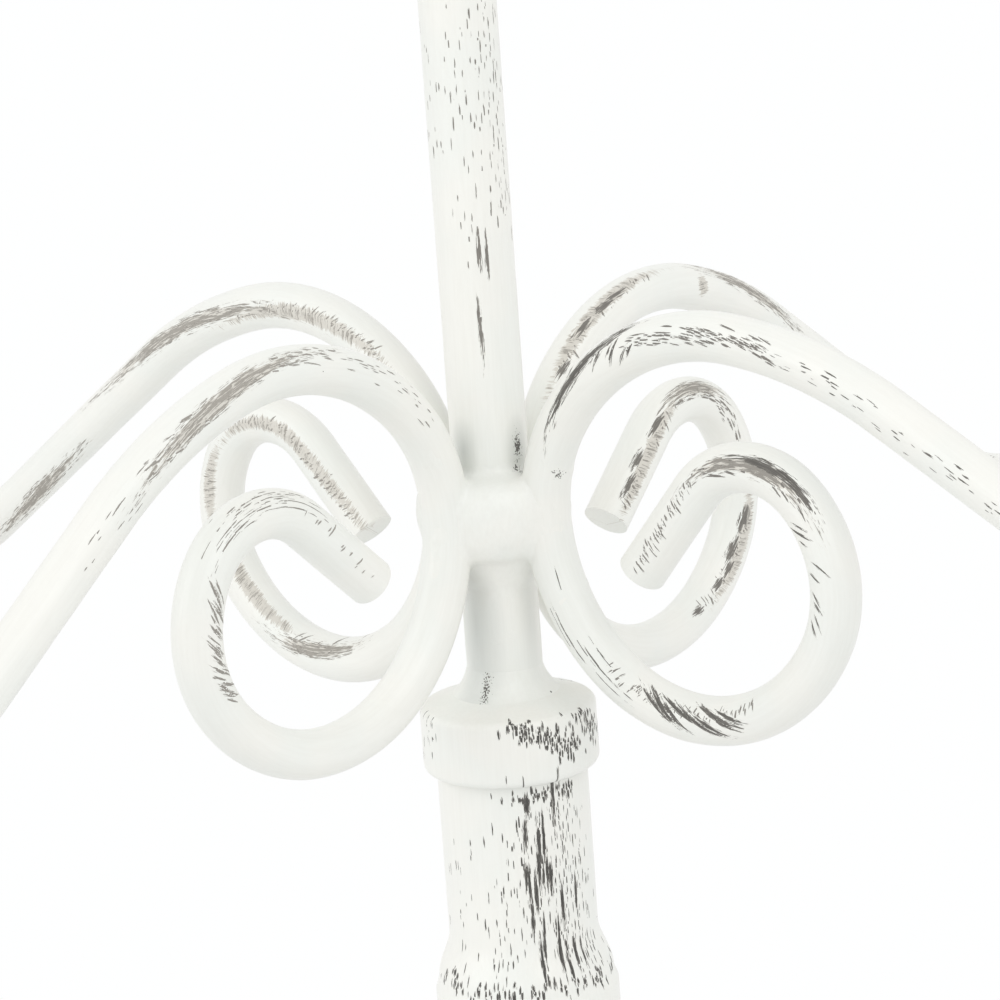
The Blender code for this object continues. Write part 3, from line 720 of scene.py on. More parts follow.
def write_wear(mesh, surface, rubs, grain, fade=0.0):
    """Writes the wear and the painted crevice shade: each face follows its strongest rub, exact to the
    face's corners.
    """
    corners = np.empty(len(mesh.loops), np.int32)
    mesh.loops.foreach_get("vertex_index", corners)
    first = np.empty(len(mesh.polygons), np.int32)
    mesh.polygons.foreach_get("loop_start", first)
    sizes = np.diff(np.append(first, len(corners)))
    place = np.zeros((len(corners), 3))
    place[:, 0] = OFF_ANY_RUB
    strokes = np.zeros((len(corners), 3))
    soft = np.zeros((len(surface.along), 3))
    strongest = np.zeros(len(first))
    faint = np.zeros(len(first))
    by_post = np.clip((SHADE_REACH - surface.out) / (2 * MM), 0.0, 1.0)
    for index, rub in enumerate(rubs):
        wide, far, length = within_rub(surface, rub)
        if rub.width == 0.0:
            side = np.zeros(len(far))
            lean = 0.0
        else:
            side = 2 * wide / (rub.width * MM)
            lean = math.radians(rub.lean)
        run = 2 * far / length
        nearness = np.clip(1 - REACH_LOSS * np.hypot(side, run), 0.0, 1.0)
        # The third column is painted shade of the crevices, kept near the post
        for column, strength in enumerate((rub.thin, rub.dots, rub.shade * by_post)):
            soft[:, column] = np.maximum(soft[:, column], nearness * strength)
        inside = np.add.reduceat(nearness[corners], first) / sizes
        force = inside * max(rub.dark, 0.1 * rub.thin)
        leading = force > strongest
        strongest[leading] = force[leading]
        faint[leading] = 1 - (1 - rub.faint) * (1 - fade)
        chosen = np.repeat(leading, sizes)
        own = corners[chosen]
        place[chosen] = np.stack([side[own], run[own], np.full(len(own), rub.dark)], axis=1)
        strokes[chosen] = np.stack([
            wide[own] * math.cos(lean) - far[own] * math.sin(lean),
            far[own] * math.cos(lean) + wide[own] * math.sin(lean),
            np.full(len(own), STROKE_STEP * (index + 1)),
        ], axis=1)
    write_vectors(mesh, "place", place, "CORNER")
    write_vectors(mesh, "strokes", strokes, "CORNER")
    write_vectors(mesh, "soft_wear", soft)
    mesh.attributes.new("faint", "FLOAT", "FACE").data.foreach_set("value", faint.astype(np.float32))
    write_vectors(mesh, "grain", grain)


def strokes_from(start, end, count, sweep, width, stray=(0.4, 5.0), **strengths):
    """Seeded short strokes set from start to end, each running by about the sweep."""
    draw = np.random.default_rng(round(abs(7 * start[0]) + abs(13 * start[1]) + 31 * count))
    rubs = []
    for index in range(count):
        share = (index + draw.uniform()) / count
        along = start[0] + (end[0] - start[0]) * share + draw.normal(0.0, stray[0])
        around = start[1] + (end[1] - start[1]) * share + draw.normal(0.0, stray[1])
        size = draw.uniform(0.6, 1.4)
        far = (along + sweep[0] * size, around + sweep[1] * size * draw.uniform(0.7, 1.3))
        rubs.append(Rub((along, around), far, width * draw.uniform(0.7, 1.3), **strengths))
    return rubs


def scattered_rubs(seed, count, along, around=(-180.0, 180.0), size=(2.0, 7.0)):
    """Seeded rubs over a stretch of a piece that the close view doesn't show."""
    draw = np.random.default_rng(seed)
    rubs = []
    for _ in range(count):
        length = draw.uniform(*size)
        start = (draw.uniform(*along), draw.uniform(*around))
        end = (start[0] + length, start[1] + draw.normal(0.0, 1.5) * length)
        rubs.append(Rub(start, end, length * draw.uniform(0.1, 0.3), draw.normal(0.0, 20.0),
                        dark=draw.uniform(0.5, 0.95), thin=draw.uniform(0.0, 0.8)))
    return rubs


def edge_rubs(*heights, width=1.1, dark=0.5):
    """Light wear all round a turned piece at each of its edges, heights in mm."""
    return [Rub((height - width / 2, 0), (height + width / 2, 0), 0.0, dark=dark, thin=0.6)
            for height in heights]


# Manners of wear: seeded strokes, and rubbed bodies under them
MANNERS = {
    "fibres": dict(sweep=(1.5, 5), width=0.22, stray=(0.8, 10), faint=0.2),
    "hatch": dict(sweep=(-0.3, 15), width=0.2, stray=(0.4, 5), faint=0.3),
    "hooks": dict(sweep=(1.5, -30), width=0.3, stray=(0.4, 6)),
    "wedges": dict(sweep=(-5, -50), width=0.5, stray=(0.5, 8), dark=1.2),
    "blots": dict(sweep=(2.5, 5), width=0.9, stray=(0.5, 4), dark=1.2),
    "hairs": dict(sweep=(-6, -5), width=0.12, stray=(0.5, 15)),
    "flecks": dict(sweep=(-1, 0), width=0.14, stray=(1.5, 12)),
    "chips": dict(sweep=(-0.9, 0), width=0.32, stray=(0.6, 6), dark=1.1),
    "runs": dict(sweep=(-5, 0), width=0.45, stray=(3, 6), dark=1.2),
}
BODIES = {
    "dark": dict(width=1.2, dark=1.2),
    "brown": dict(width=1.8, dark=0.8, thin=1.0, faint=0.5),
    "pale": dict(width=1.6, lean=75, dark=0.4, thin=1.2, faint=0.6),
    "grit": dict(width=1.5, dark=0, dots=1.0),
}


def worn(manner, start, end, count):
    """Strokes of one manner from start to end."""
    return strokes_from(start, end, count, **MANNERS[manner])


def body(kind, start, end):
    """One rubbed body from start to end."""
    return Rub(start, end, **BODIES[kind])


# Worn zones in steps of 5 mm and 15 degrees. They follow marks that were measured in the close
# view, and are coarser than it on purpose. Angles round an arm start from its outer side; on an
# upright piece they are turned from +X. Along an arm 0 is the weld and the scroll is below 0.
ARM_RUBS = {
    "right_front": [
        body("dark", (15, 90), (30, 30)),
        *worn("hooks", (20, 60), (30, 105), 12),
        *worn("fibres", (30, 75), (50, 75), 80),
        *worn("flecks", (50, 75), (85, 90), 50),
        body("brown", (-90, 75), (-75, 60)),
        body("dark", (-85, 60), (-75, 45)),
        *worn("fibres", (-90, 75), (-75, 60), 40),
        *worn("hooks", (-75, 105), (-60, 120), 9),
        *worn("hatch", (-90, 75), (-105, 90), 70),
        *worn("hairs", (-5, 90), (-20, 120), 7),
        *worn("wedges", (-25, 135), (-40, 120), 9),
        *worn("hatch", (-20, 120), (-45, 105), 60),
    ],
    "right_back": [
        body("pale", (15, 30), (35, 30)),
        *worn("hatch", (15, 30), (35, 30), 40),
        *worn("blots", (15, 30), (30, 30), 4),
        body("pale", (45, 60), (45, 105)),
        body("brown", (45, 30), (65, 75)),
        body("brown", (-90, 45), (-80, 60)),
        *worn("fibres", (-90, 45), (-75, 105), 50),
        body("pale", (-90, 60), (-105, 75)),
        *worn("hatch", (-90, 60), (-105, 60), 35),
        *worn("blots", (-95, 45), (-105, 45), 3),
        *worn("blots", (-65, 120), (-45, 120), 6),
        body("pale", (-65, 105), (-50, 105)),
        *worn("hatch", (-60, 105), (-45, 120), 40),
    ],
    "left_back": [
        body("brown", (40, -90), (75, -60)),
        body("pale", (45, -105), (20, -60)),
        *worn("hatch", (45, -105), (20, -60), 90),
        body("brown", (90, -135), (110, -150)),
        body("pale", (-75, -90), (-65, -105)),
        body("pale", (-80, -90), (-105, -60)),
        *worn("hatch", (-80, -90), (-105, -75), 90),
        body("pale", (-60, -135), (-45, -135)),
        body("brown", (-45, -105), (-30, -135)),
        *worn("hooks", (-45, -105), (-30, -135), 6),
    ],
    "left_front": [
        *worn("flecks", (15, -75), (30, -45), 40),
        *worn("fibres", (30, -45), (60, -75), 90),
        body("brown", (35, -45), (60, -75)),
        *worn("flecks", (60, -75), (75, -75), 15),
        *worn("flecks", (-80, -30), (-90, -45), 50),
        *worn("hairs", (-75, -60), (-85, -30), 20),
        *worn("hatch", (-90, -90), (-105, -105), 12),
        *worn("hooks", (-75, -75), (-60, -90), 40),
    ],
}
# Painted shade: a greyer coat in the crevices between the post, the welds and the arms, standing in for the
# shade that falls there
CREVICE_SHADE = [
    Rub((355, 0), (350, 0), 2.5, dark=0, shade=0.45),
    Rub((355, -90), (350, -90), 2.5, dark=0, shade=0.45),
    Rub((340, -90), (320, -90), 4.5, dark=0, shade=0.5),
    Rub((335, 0), (325, 0), 2, dark=0, shade=0.2),
]
POST_RUBS = [
    *worn("flecks", (410, -60), (390, -60), 40),
    *worn("flecks", (405, -30), (385, -30), 40),
    *worn("flecks", (410, 0), (380, 0), 160),
    *worn("flecks", (405, -105), (390, -105), 25),
    *scattered_rubs(45, 18, (410, 445), size=(1.0, 4.0)),
    # Scraped place above the arms
    *worn("flecks", (385, -60), (375, -45), 20),
    *worn("runs", (380, -45), (375, -45), 4),
    body("grit", (355, 0), (350, 0)),
    *CREVICE_SHADE,
]
COLUMN_RUBS = [
    # The side away from the close view
    *scattered_rubs(46, 60, (285, 320), (60, 205), (0.8, 3.5)),
    # The cap's skirt, most worn to the right
    *worn("flecks", (320, -120), (315, -120), 25),
    *worn("chips", (320, -45), (315, 0), 150),
    *worn("chips", (320, 0), (315, 30), 60),
    # Runs down from the cap, and flecks all over
    *worn("chips", (310, -45), (310, 0), 40),
    *worn("runs", (310, -30), (300, -30), 12),
    *worn("runs", (300, -45), (290, 0), 10),
    *worn("flecks", (310, -15), (285, 0), 300),
    *worn("flecks", (310, -45), (285, -60), 100),
    *worn("flecks", (305, -90), (285, -105), 30),
    # Upper edge of the ring below
    *worn("chips", (285, -120), (285, 30), 90),
]
FOOT_WELD_RUBS = [body("grit", (325, -75), (320, -75)), *CREVICE_SHADE]
WELD_RUBS = [body("grit", (350, -15), (350, 0)), *CREVICE_SHADE]


# Arms

def bend(at, heading, bends, turn, spacing):
    """Follows bends in an arm's plane, turning left (+1) or right (-1) from a heading in degrees."""
    points = []
    for radius, angle in bends:
        steps = max(2, round(math.radians(angle) * radius / spacing))
        side = math.radians(heading + 90 * turn)
        centre = (at[0] + radius * math.cos(side), at[1] + radius * math.sin(side))
        for step in range(1, steps + 1):
            way = math.radians(heading + turn * angle * step / steps - 90 * turn)
            points.append((centre[0] + radius * math.cos(way), centre[1] + radius * math.sin(way)))
        heading += turn * angle
        at = points[-1]
    return points, heading


def straight(start, end, spacing):
    """Evenly spaced points after start, up to end."""
    steps = max(1, round(math.dist(start, end) / spacing))
    return [(start[0] + (end[0] - start[0]) * step / steps, start[1] + (end[1] - start[1]) * step / steps)
            for step in range(1, steps + 1)]


def arm_route(name, spacing):
    """The scroll's and the arch's points in the arm's plane, both from the weld outwards."""
    set_out, lift, tilt, short = ARM_SETTINGS[name]
    *first_bends, (last_radius, last_angle) = ARCH_BENDS
    arch_bends = (*first_bends, (last_radius, last_angle - short))
    weld = (ARM_SEAT + set_out, ARM_LEVEL + lift)
    scroll, heading = bend(weld, tilt - 90, SCROLL_BENDS, 1, spacing)
    way = math.radians(heading)
    tail = (scroll[-1][0] + SCROLL_TAIL * math.cos(way), scroll[-1][1] + SCROLL_TAIL * math.sin(way))
    scroll += straight(scroll[-1], tail, spacing)
    arch, heading = bend(weld, 90 + tilt, arch_bends, -1, spacing)
    slope = math.radians(heading)
    run = CUP_REACH - arch[-1][0] - CUP_BEND_RADIUS * (1 - math.sin(slope))
    foot = (arch[-1][0] + run, arch[-1][1] + run * math.tan(slope))
    arch += straight(arch[-1], foot, spacing)
    rise, _ = bend(arch[-1], heading, ((CUP_BEND_RADIUS, 90 - heading),), 1, 2 * spacing)
    arch += rise + straight(rise[-1], (CUP_REACH, ARM_TOP), 2 * spacing)
    return scroll, [weld] + arch


def end_steps(rounding=0.0005):
    """Distances from a bar's end and the share of its radius there: a flat face, then a rounded rim."""
    steps = [(0.0, 0.10), (0.00002, 0.40), (0.00004, 0.66)]
    rim = 1 - rounding / BAR_RADIUS
    for step in range(5):
        angle = math.radians(22.5 * step)
        steps.append((0.00006 + rounding * (1 - math.cos(angle)),
                      rim + rounding / BAR_RADIUS * math.sin(angle)))
    return steps


def round_ends(points):
    """Adds the close-set rings of both ends to a path, and gives each of its points a radius share."""
    last = end_steps()[-1][0]
    path = [np.array(point) for point in points]

    def from_end(run):
        start, way = run[0], run[1] - run[0]
        way = way / np.linalg.norm(way)
        kept = [point for point in run if np.linalg.norm(point - start) > last + 0.0001]
        return [(start + way * distance, share) for distance, share in end_steps()], kept

    first, rest = from_end(path)
    second, rest = from_end(rest[::-1])
    return first + [(point, 1.0) for point in rest[::-1]] + second[::-1]


def swept_bar(name, points, radius, sides):
    """A path with its radius shares, ready to be swept."""
    curve = bpy.data.curves.new(name, "CURVE")
    curve.dimensions = "3D"
    spline = curve.splines.new("POLY")
    spline.points.add(len(points) - 1)
    for point, (place, share) in zip(spline.points, points):
        point.co = (*place, 1.0)
        point.radius = share
    obj = add_object(name, curve)
    set_tree(obj, "painted bar", Radius=radius, Sides=sides)
    return obj


def in_plane(points, direction):
    """Turns points of an arm's plane into points in space; direction is the plane's angle from +X."""
    across, away = math.cos(direction), math.sin(direction)
    return [(radius * across, radius * away, height) for radius, height in points]


def arm_direction(name):
    seat = axis_of("drip_pan_" + name)
    return math.atan2(seat.y, seat.x)


def arm_surface(mesh, path, direction, weld_at):
    """Places on a bar: along it from the weld, and round it from the outer side of its bends."""
    line = np.array(path)
    steps = np.linalg.norm(np.diff(line, axis=0), axis=1)
    distance = np.concatenate([[0.0], np.cumsum(steps)])
    along = np.empty(len(mesh.vertices), np.float32)
    mesh.attributes["along"].data.foreach_get("value", along)
    heading = np.gradient(line, distance, axis=0)
    middle = np.stack([np.interp(along, distance, line[:, axis]) for axis in range(3)], axis=1)
    way = np.stack([np.interp(along, distance, heading[:, axis]) for axis in range(3)], axis=1)
    way /= np.linalg.norm(way, axis=1)[:, None]
    side = np.array([math.sin(direction), -math.cos(direction), 0.0])
    outer = np.cross(side, way)
    offset = vertex_places(mesh) - middle
    around = np.arctan2(offset @ side, (offset * outer).sum(axis=1))
    return Surface(along - weld_at, around, np.linalg.norm(offset, axis=1))


def dress(obj, nodes, rubs, paint, wavelength=0.009, depth=None, sharp=None, edge=None, fade=0.0):
    """Coats a piece on the main axis, wears it and hands it over."""
    obj = coated(obj, paint, wavelength, depth, sharp)
    surface = upright_surface(obj.data, [(0.0, 0.0, 0.0)], edge)
    write_wear(obj.data, surface, rubs, vertex_places(obj.data), fade)
    hand_over(obj, nodes)


def dress_turned(obj, node, rubs, depth=None, edge=None):
    """Dresses a turned piece of the column."""
    dress(obj, [node], rubs, TURNINGS_PAINT, depth=depth, sharp=SHARP_ANGLE, edge=edge)


class CANDELABRA_OT_materials(bpy.types.Operator):
    """Make the node groups, the paints and the steel that the pieces use"""

    bl_idname = "candelabra.materials"
    bl_label = "Mix the Paints"

    def execute(self, context):
        make_stroke_group()
        make_brush_group()
        make_speck_group()
        make_dot_group()
        make_bar_tree()
        make_build_up_tree()
        make_seat_tree()
        make_paint(BARS_PAINT, 16.0, 0.000010, 0.003)
        make_paint(TURNINGS_PAINT, 22.0, 0.000012, 0.02)
        make_paint(WELDS_PAINT, 3.0, 0.000012, 0.003)
        make_steel()
        return {"FINISHED"}


class CANDELABRA_OT_arms(bpy.types.Operator):
    """Bend the four arms and paint them"""

    bl_idname = "candelabra.arms"
    bl_label = "Bend the Arms"

    def execute(self, context):
        form = context.scene.candelabra_form
        for order, name in enumerate(ARM_NAMES):
            direction = arm_direction(name)
            scroll, arch = arm_route(name, form.ring_spacing)
            path = round_ends(in_plane(scroll[::-1] + arch, direction))
            line = [place for place, _ in path]
            weld = np.array(in_plane(arch[:1], direction)[0])
            nearest = min(range(len(line)), key=lambda index: np.linalg.norm(line[index] - weld))
            weld_at = sum(math.dist(line[index], line[index + 1]) for index in range(nearest))
            bar = swept_bar("bar_" + name, path, BAR_RADIUS, form.bar_sides)
            bar = coated(bar, BARS_PAINT, 0.008)
            surface = arm_surface(bar.data, line, direction, weld_at)
            grain = np.stack([
                surface.out * np.cos(surface.around), surface.out * np.sin(surface.around), surface.along,
            ], axis=1)
            far = scattered_rubs(FAR_WEAR_SEED + order, 40, FAR_STRETCH, size=(1.5, 6.0))
            write_wear(bar.data, surface, ARM_RUBS[name] + far, grain, ARM_FADES[name])
            hand_over(bar, ["arm_" + name])
        return {"FINISHED"}


class CANDELABRA_OT_post(bpy.types.Operator):
    """Make the centre post"""

    bl_idname = "candelabra.post"
    bl_label = "Set Up the Post"

    def execute(self, context):
        form = context.scene.candelabra_form
        foot = low("centre_post").z
        rings = straight((0.0, foot), (0.0, POST_TOP), form.ring_spacing)
        line = [(0.0, 0.0, foot)] + [(0.0, 0.0, height) for _, height in rings]
        post = swept_bar("post_bar", round_ends(line), POST_RADIUS, form.bar_sides)
        dress(post, ["centre_post"], POST_RUBS, BARS_PAINT, fade=POST_FADE)
        return {"FINISHED"}


class CANDELABRA_OT_welds(bpy.types.Operator):
    """Run the welds together round the arms and the post"""

    bl_idname = "candelabra.welds"
    bl_label = "Run the Welds"

    def execute(self, context):
        form = context.scene.candelabra_form
        half = WELD_HEIGHT / 2
        above = half - WELD_TOP_DROP
        inner = POST_RADIUS - 2 * GAP
        outline = []
        for degrees in range(0, 90, 15):
            angle = math.radians(degrees)
            outline.append((inner + (WELD_END_RADIUS - inner) * math.sin(angle),
                            ARM_LEVEL + above + WELD_RUN_UP * (1 - math.sin(angle)) * math.cos(angle)))
        middle = (WELD_END_RADIUS, ARM_LEVEL)
        outline += oval(middle, (WELD_RADIUS - WELD_END_RADIUS, above), range(90, 0, -15))
        outline += oval(middle, (WELD_RADIUS - WELD_END_RADIUS, half), range(0, -61, -15))
        whole = 1 - math.cos(math.radians(75))
        for degrees in range(75, -1, -15):
            part = 1 - math.cos(math.radians(degrees))
            outline.append((inner + (WELD_END_RADIUS - inner) * part / whole,
                            ARM_LEVEL - half - WELD_RUN_DOWN * (1 - part / whole)))
        outline += [(POST_RADIUS / 2, ARM_LEVEL - half), (POST_RADIUS / 2, ARM_LEVEL + above)]
        parts = [turned("weld lump", outline, 48, 0.0, 0.0005)]
        reach = 1.5 * WELD_HEIGHT
        for name in ARM_NAMES:
            scroll, arch = arm_route(name, form.ring_spacing)
            route = in_plane(scroll[::-1] + arch, arm_direction(name))
            near = [(np.array(point), 1.0) for point in route
                    if abs(point[2] - ARM_LEVEL) < reach and math.hypot(*point[:2]) < 1.6 * ARM_SEAT]
            parts.append(swept_bar("weld stretch " + name, near, BAR_RADIUS, 32))
        run = [(np.array((0.0, 0.0, ARM_LEVEL + share * reach)), 1.0) for share in (-1.0, 0.0, 1.0)]
        parts.append(swept_bar("weld stretch post", run, POST_RADIUS, 48))
        merged = bmesh.new()
        for part in parts:
            part = settle(part)
            merged.from_mesh(part.data)
            bpy.data.objects.remove(part)
        mesh = bpy.data.meshes.new("arm_welds")
        merged.to_mesh(mesh)
        merged.free()
        welds = add_object("arm_welds", mesh)
        remesh = welds.modifiers.new("run together", "REMESH")
        remesh.mode = "VOXEL"
        remesh.voxel_size = form.weld_voxel
        remesh.use_smooth_shade = True
        flow = welds.modifiers.new("flow", "SMOOTH")
        flow.iterations = form.weld_flow
        nodes = ["arm_weld_right", "arm_weld_back", "arm_weld_left", "arm_weld_front"]
        dress(welds, nodes, WELD_RUBS, WELDS_PAINT, 0.0034, 0.00022)
        return {"FINISHED"}


def ring_outline(top, body, flare_above, flare_below):
    """A plain ring of the column, swept in to the body above and to the neck below it."""
    soft = RING_HEIGHT / 5
    head = top - flare_above
    foot = head - RING_HEIGHT
    points = ease((body, top), (RING_RADIUS - soft / 3, head), 14)
    points += [(RING_RADIUS, head - soft), (RING_RADIUS, foot + soft)]
    points += ease((RING_RADIUS - soft / 3, foot), (flare_below[0], foot - flare_below[1]), 12)
    return points


def bored(base, top):
    """The inner run of an outline with the rod's hole, from below."""
    return [(ROD_HOLE, base), (ROD_HOLE, top)]


class CANDELABRA_OT_cap(bpy.types.Operator):
    """Turn the domed cap and the weld round the post's foot"""

    bl_idname = "candelabra.cap"
    bl_label = "Turn the Cap"

    def execute(self, context):
        bore = POST_RADIUS + GAP
        sleeve = BODY_RADIUS + GAP
        edge = radius_of("column_cap")
        skirt, crown = span("column_cap")
        shoulder = crown - CAP_SHOULDER_DROP
        inner_step = crown - CAP_STEP_DROP
        corner = 0.0011
        outline = [(bore, crown)]
        outline += arc(edge - corner, shoulder - corner, corner, 78, 0, 8)
        outline += arc(edge - corner, skirt + corner, corner, 0, -70, 8)
        outline += [(sleeve, skirt), (sleeve, inner_step), (bore, inner_step)]
        cap = turned("cap_turning", outline, CLOSE_STEPS, longest=FINE)
        dress_turned(cap, "column_cap", COLUMN_RUBS, edge=edge)

        top = high("post_weld").z + FOOT_WELD_SPREAD
        weld_edge = radius_of("post_weld") + FOOT_WELD_SPREAD
        bore = POST_RADIUS - GAP
        throat = 0.98 * (weld_edge - bore)
        slope = CAP_SHOULDER_DROP / (edge - corner - POST_RADIUS)
        foot = crown - slope * (weld_edge - POST_RADIUS)
        outline = [(bore, top)] + oval((weld_edge, top), (-throat, foot - top), range(6, 91, 6))
        outline += [(weld_edge + 2 * GAP, foot - 2 * GAP * slope - 0.1 * GAP), (bore, foot - 2 * GAP)]
        dress_turned(turned("post_foot_weld", outline, CLOSE_STEPS), "post_weld", FOOT_WELD_RUBS, 0.0002)
        return {"FINISHED"}


class CANDELABRA_OT_column(bpy.types.Operator):
    """Turn the column's pieces from the capped one down to the ring on the foot"""

    bl_idname = "candelabra.column"
    bl_label = "Turn the Column"

    def execute(self, context):
        steps = context.scene.candelabra_form.turn_steps
        base, top = span("upper_column")
        ring_top = base + NECK_HEIGHT + RING_HEIGHT + RING_FLARE
        flare_below = (NECK_RADIUS, NECK_HEIGHT - RING_HEIGHT / 5)
        outline = [(BODY_RADIUS, top)] + ring_outline(ring_top, BODY_RADIUS, RING_FLARE, flare_below)
        outline += [(NECK_RADIUS, base)] + bored(base, top)
        body_turning = turned("upper_turning", outline, CLOSE_STEPS, longest=FINE)
        dress_turned(body_turning, "upper_column", COLUMN_RUBS)

        base, top = span("lower_column")
        outline = [(NECK_RADIUS, top)]
        outline += ease((NECK_RADIUS, top - 0.002), (BODY_RADIUS, top - LOWER_RING_INSET * 0.6), 10)
        outline += ring_outline(top - LOWER_RING_INSET, BODY_RADIUS, RING_FLARE, (BODY_RADIUS, RING_FLARE))
        low_ring = base + LOWER_RING_INSET + RING_HEIGHT + 2 * RING_FLARE
        outline += ring_outline(low_ring, BODY_RADIUS, RING_FLARE, (BODY_RADIUS, RING_FLARE))
        outline += ease((BODY_RADIUS, base + LOWER_RING_INSET * 0.6), (NECK_RADIUS, base + 0.002), 10)
        outline.append((NECK_RADIUS, base))
        outline += bored(base, top)
        upper_ring = (top - LOWER_RING_INSET - RING_FLARE) / MM
        lower_ring = (low_ring - RING_FLARE) / MM
        rubs = scattered_rubs(11, 60, (base / MM, top / MM))
        rubs += edge_rubs(upper_ring - 1, upper_ring - 6.5, lower_ring - 1, lower_ring - 6.5)
        dress_turned(turned("lower_turning", outline, steps), "lower_column", rubs)

        base, top = span("knop")
        height = top - base
        lip = height * 0.16
        outline = [(NECK_RADIUS + lip, top), (NECK_RADIUS + lip, top - lip)]
        depth = radius_of("knop") - NECK_RADIUS
        outline += bead(NECK_RADIUS, top - lip, height - 2 * lip, depth, 40)[2:-2]
        outline += [(NECK_RADIUS + lip, base + lip), (NECK_RADIUS + lip, base)]
        outline += bored(base, top)
        rubs = scattered_rubs(12, 16, (base / MM, top / MM)) + edge_rubs((top + base) / 2 / MM)
        dress_turned(turned("knop_turning", outline, steps), "knop", rubs)

        base, top = span("baluster")
        slim, belly = BALUSTER_NECK_RADIUS, radius_of("baluster")
        belly_at = base + (top - base) * 0.30
        lip = 0.0035
        seat = radius_of("foot_ring") - lip
        outline = [(NECK_RADIUS + lip, top), (NECK_RADIUS + lip, top - lip)]
        outline += ease((slim + lip, top - 2 * lip), (slim, top - 4 * lip), 10)
        outline += ease((slim, top - 6 * lip), (belly, belly_at), 40)
        outline += ease((belly, belly_at), (slim, base + 3 * lip), 24)[1:]
        outline += bead(slim, base + 3 * lip, lip, lip / 2, 12)[1:]
        outline += ease((slim, base + 2 * lip), (seat, base + lip / 2), 8)[1:]
        outline.append((seat, base))
        outline += bored(base, top)
        rubs = scattered_rubs(13, 60, (base / MM, top / MM))
        rubs += edge_rubs((top - lip) / MM, (base + 2.5 * lip) / MM)
        rubs += edge_rubs(belly_at / MM, width=9.0, dark=0.28)
        dress_turned(turned("baluster_turning", outline, steps), "baluster", rubs)

        base, top = span("foot_ring")
        outline = bead(FOOT_NECK_RADIUS, top, top - base, radius_of("foot_ring") - FOOT_NECK_RADIUS, 32)
        outline += bored(base, top)
        rubs = scattered_rubs(14, 12, (base / MM, top / MM)) + edge_rubs((top + base) / 2 / MM)
        dress_turned(turned("foot_ring_turning", outline, steps), "foot_ring", rubs)
        return {"FINISHED"}


class CANDELABRA_OT_foot(bpy.types.Operator):
    """Turn the hollow foot"""

    bl_idname = "candelabra.foot"
    bl_label = "Turn the Foot"

    def execute(self, context):
        rim, top = radius_of("foot"), high("foot").z
        neck, step = FOOT_NECK_RADIUS, FOOT_STEP_RADIUS
        bead_radius = 0.0018
        edge = 0.0012
        cove_foot = FOOT_STEP_HEIGHT + bead_radius
        dome_top = (step + bead_radius, FOOT_STEP_HEIGHT - 2 * bead_radius)
        dome_foot = (rim - FOOT_RIM_WIDTH, FOOT_EDGE_HEIGHT + edge)
        cove = (step - bead_radius, top - edge)
        outline = [(neck, top)] + oval(cove, (neck - cove[0], cove_foot - cove[1]), range(0, 91, 5))
        outline += arc(step, FOOT_STEP_HEIGHT, bead_radius, 88, -72, 16)
        rise = dome_top[1] - dome_foot[1]
        outline += oval((dome_top[0], dome_foot[1]), (dome_foot[0] - dome_top[0], rise), range(90, -1, -5))
        outline += arc(rim - edge, FOOT_EDGE_HEIGHT - edge, edge, 90, 0, 8)
        outline += [(rim, edge / 2), (rim - edge / 2, 0.0)]
        outline += [(rim - FOOT_RIM_WIDTH, 0.0), (rim - FOOT_RIM_WIDTH - edge, edge)]
        outline += oval((dome_top[0], dome_foot[1] - FOOT_WALL),
                        (dome_foot[0] - FOOT_WALL - dome_top[0], rise), range(10, 91, 8))
        outline += [(FOOT_BOSS_RADIUS + edge, dome_top[1] - FOOT_WALL), (FOOT_BOSS_RADIUS, FOOT_BOSS_LEVEL)]
        outline += bored(FOOT_BOSS_LEVEL, top)
        rubs = scattered_rubs(15, 150, (1.0, top / MM), size=(1.5, 6.0))
        rubs += edge_rubs(FOOT_STEP_HEIGHT / MM + 1, FOOT_EDGE_HEIGHT / MM, 0.8, width=1.6)
        foot = turned("foot_turning", outline, 2 * context.scene.candelabra_form.turn_steps)
        dress_turned(foot, "foot", rubs, 0.0)
        return {"FINISHED"}


def seat_of(name):
    """Where a pan, its cup and its screw sit: on the axis, at the top of the arm or the post."""
    seat = axis_of("drip_pan_" + name)
    seat.z = low("drip_pan_" + name).z - GAP
    return seat


def set_on_seats(name, master, finish, seed=3):
    """One mesh that holds a copy of the master on each of the five seats."""
    mesh = bpy.data.meshes.new(name)
    mesh.from_pydata([seat_of(light) for light in LIGHT_NAMES], [], [])
    obj = add_object(name, mesh)
    set_tree(obj, "set on seats", Piece=master, Seed=seed, Finish=bpy.data.materials[finish])
    obj = settle(obj, SHARP_ANGLE)
    bpy.data.objects.remove(master)
    return obj


def wear_on_seats(obj, rubs):
    """Wear of pieces on the seats: heights count from each seat."""
    seats = [seat_of(light) for light in LIGHT_NAMES]
    surface = upright_surface(obj.data, [(seat.x, seat.y, 0.0) for seat in seats])
    places = vertex_places(obj.data)
    lift = np.where(np.hypot(places[:, 0], places[:, 1]) < CUP_REACH / 2, seats[0].z, ARM_TOP)
    surface = Surface(surface.along - lift, surface.around, surface.out)
    write_wear(obj.data, surface, rubs, places)


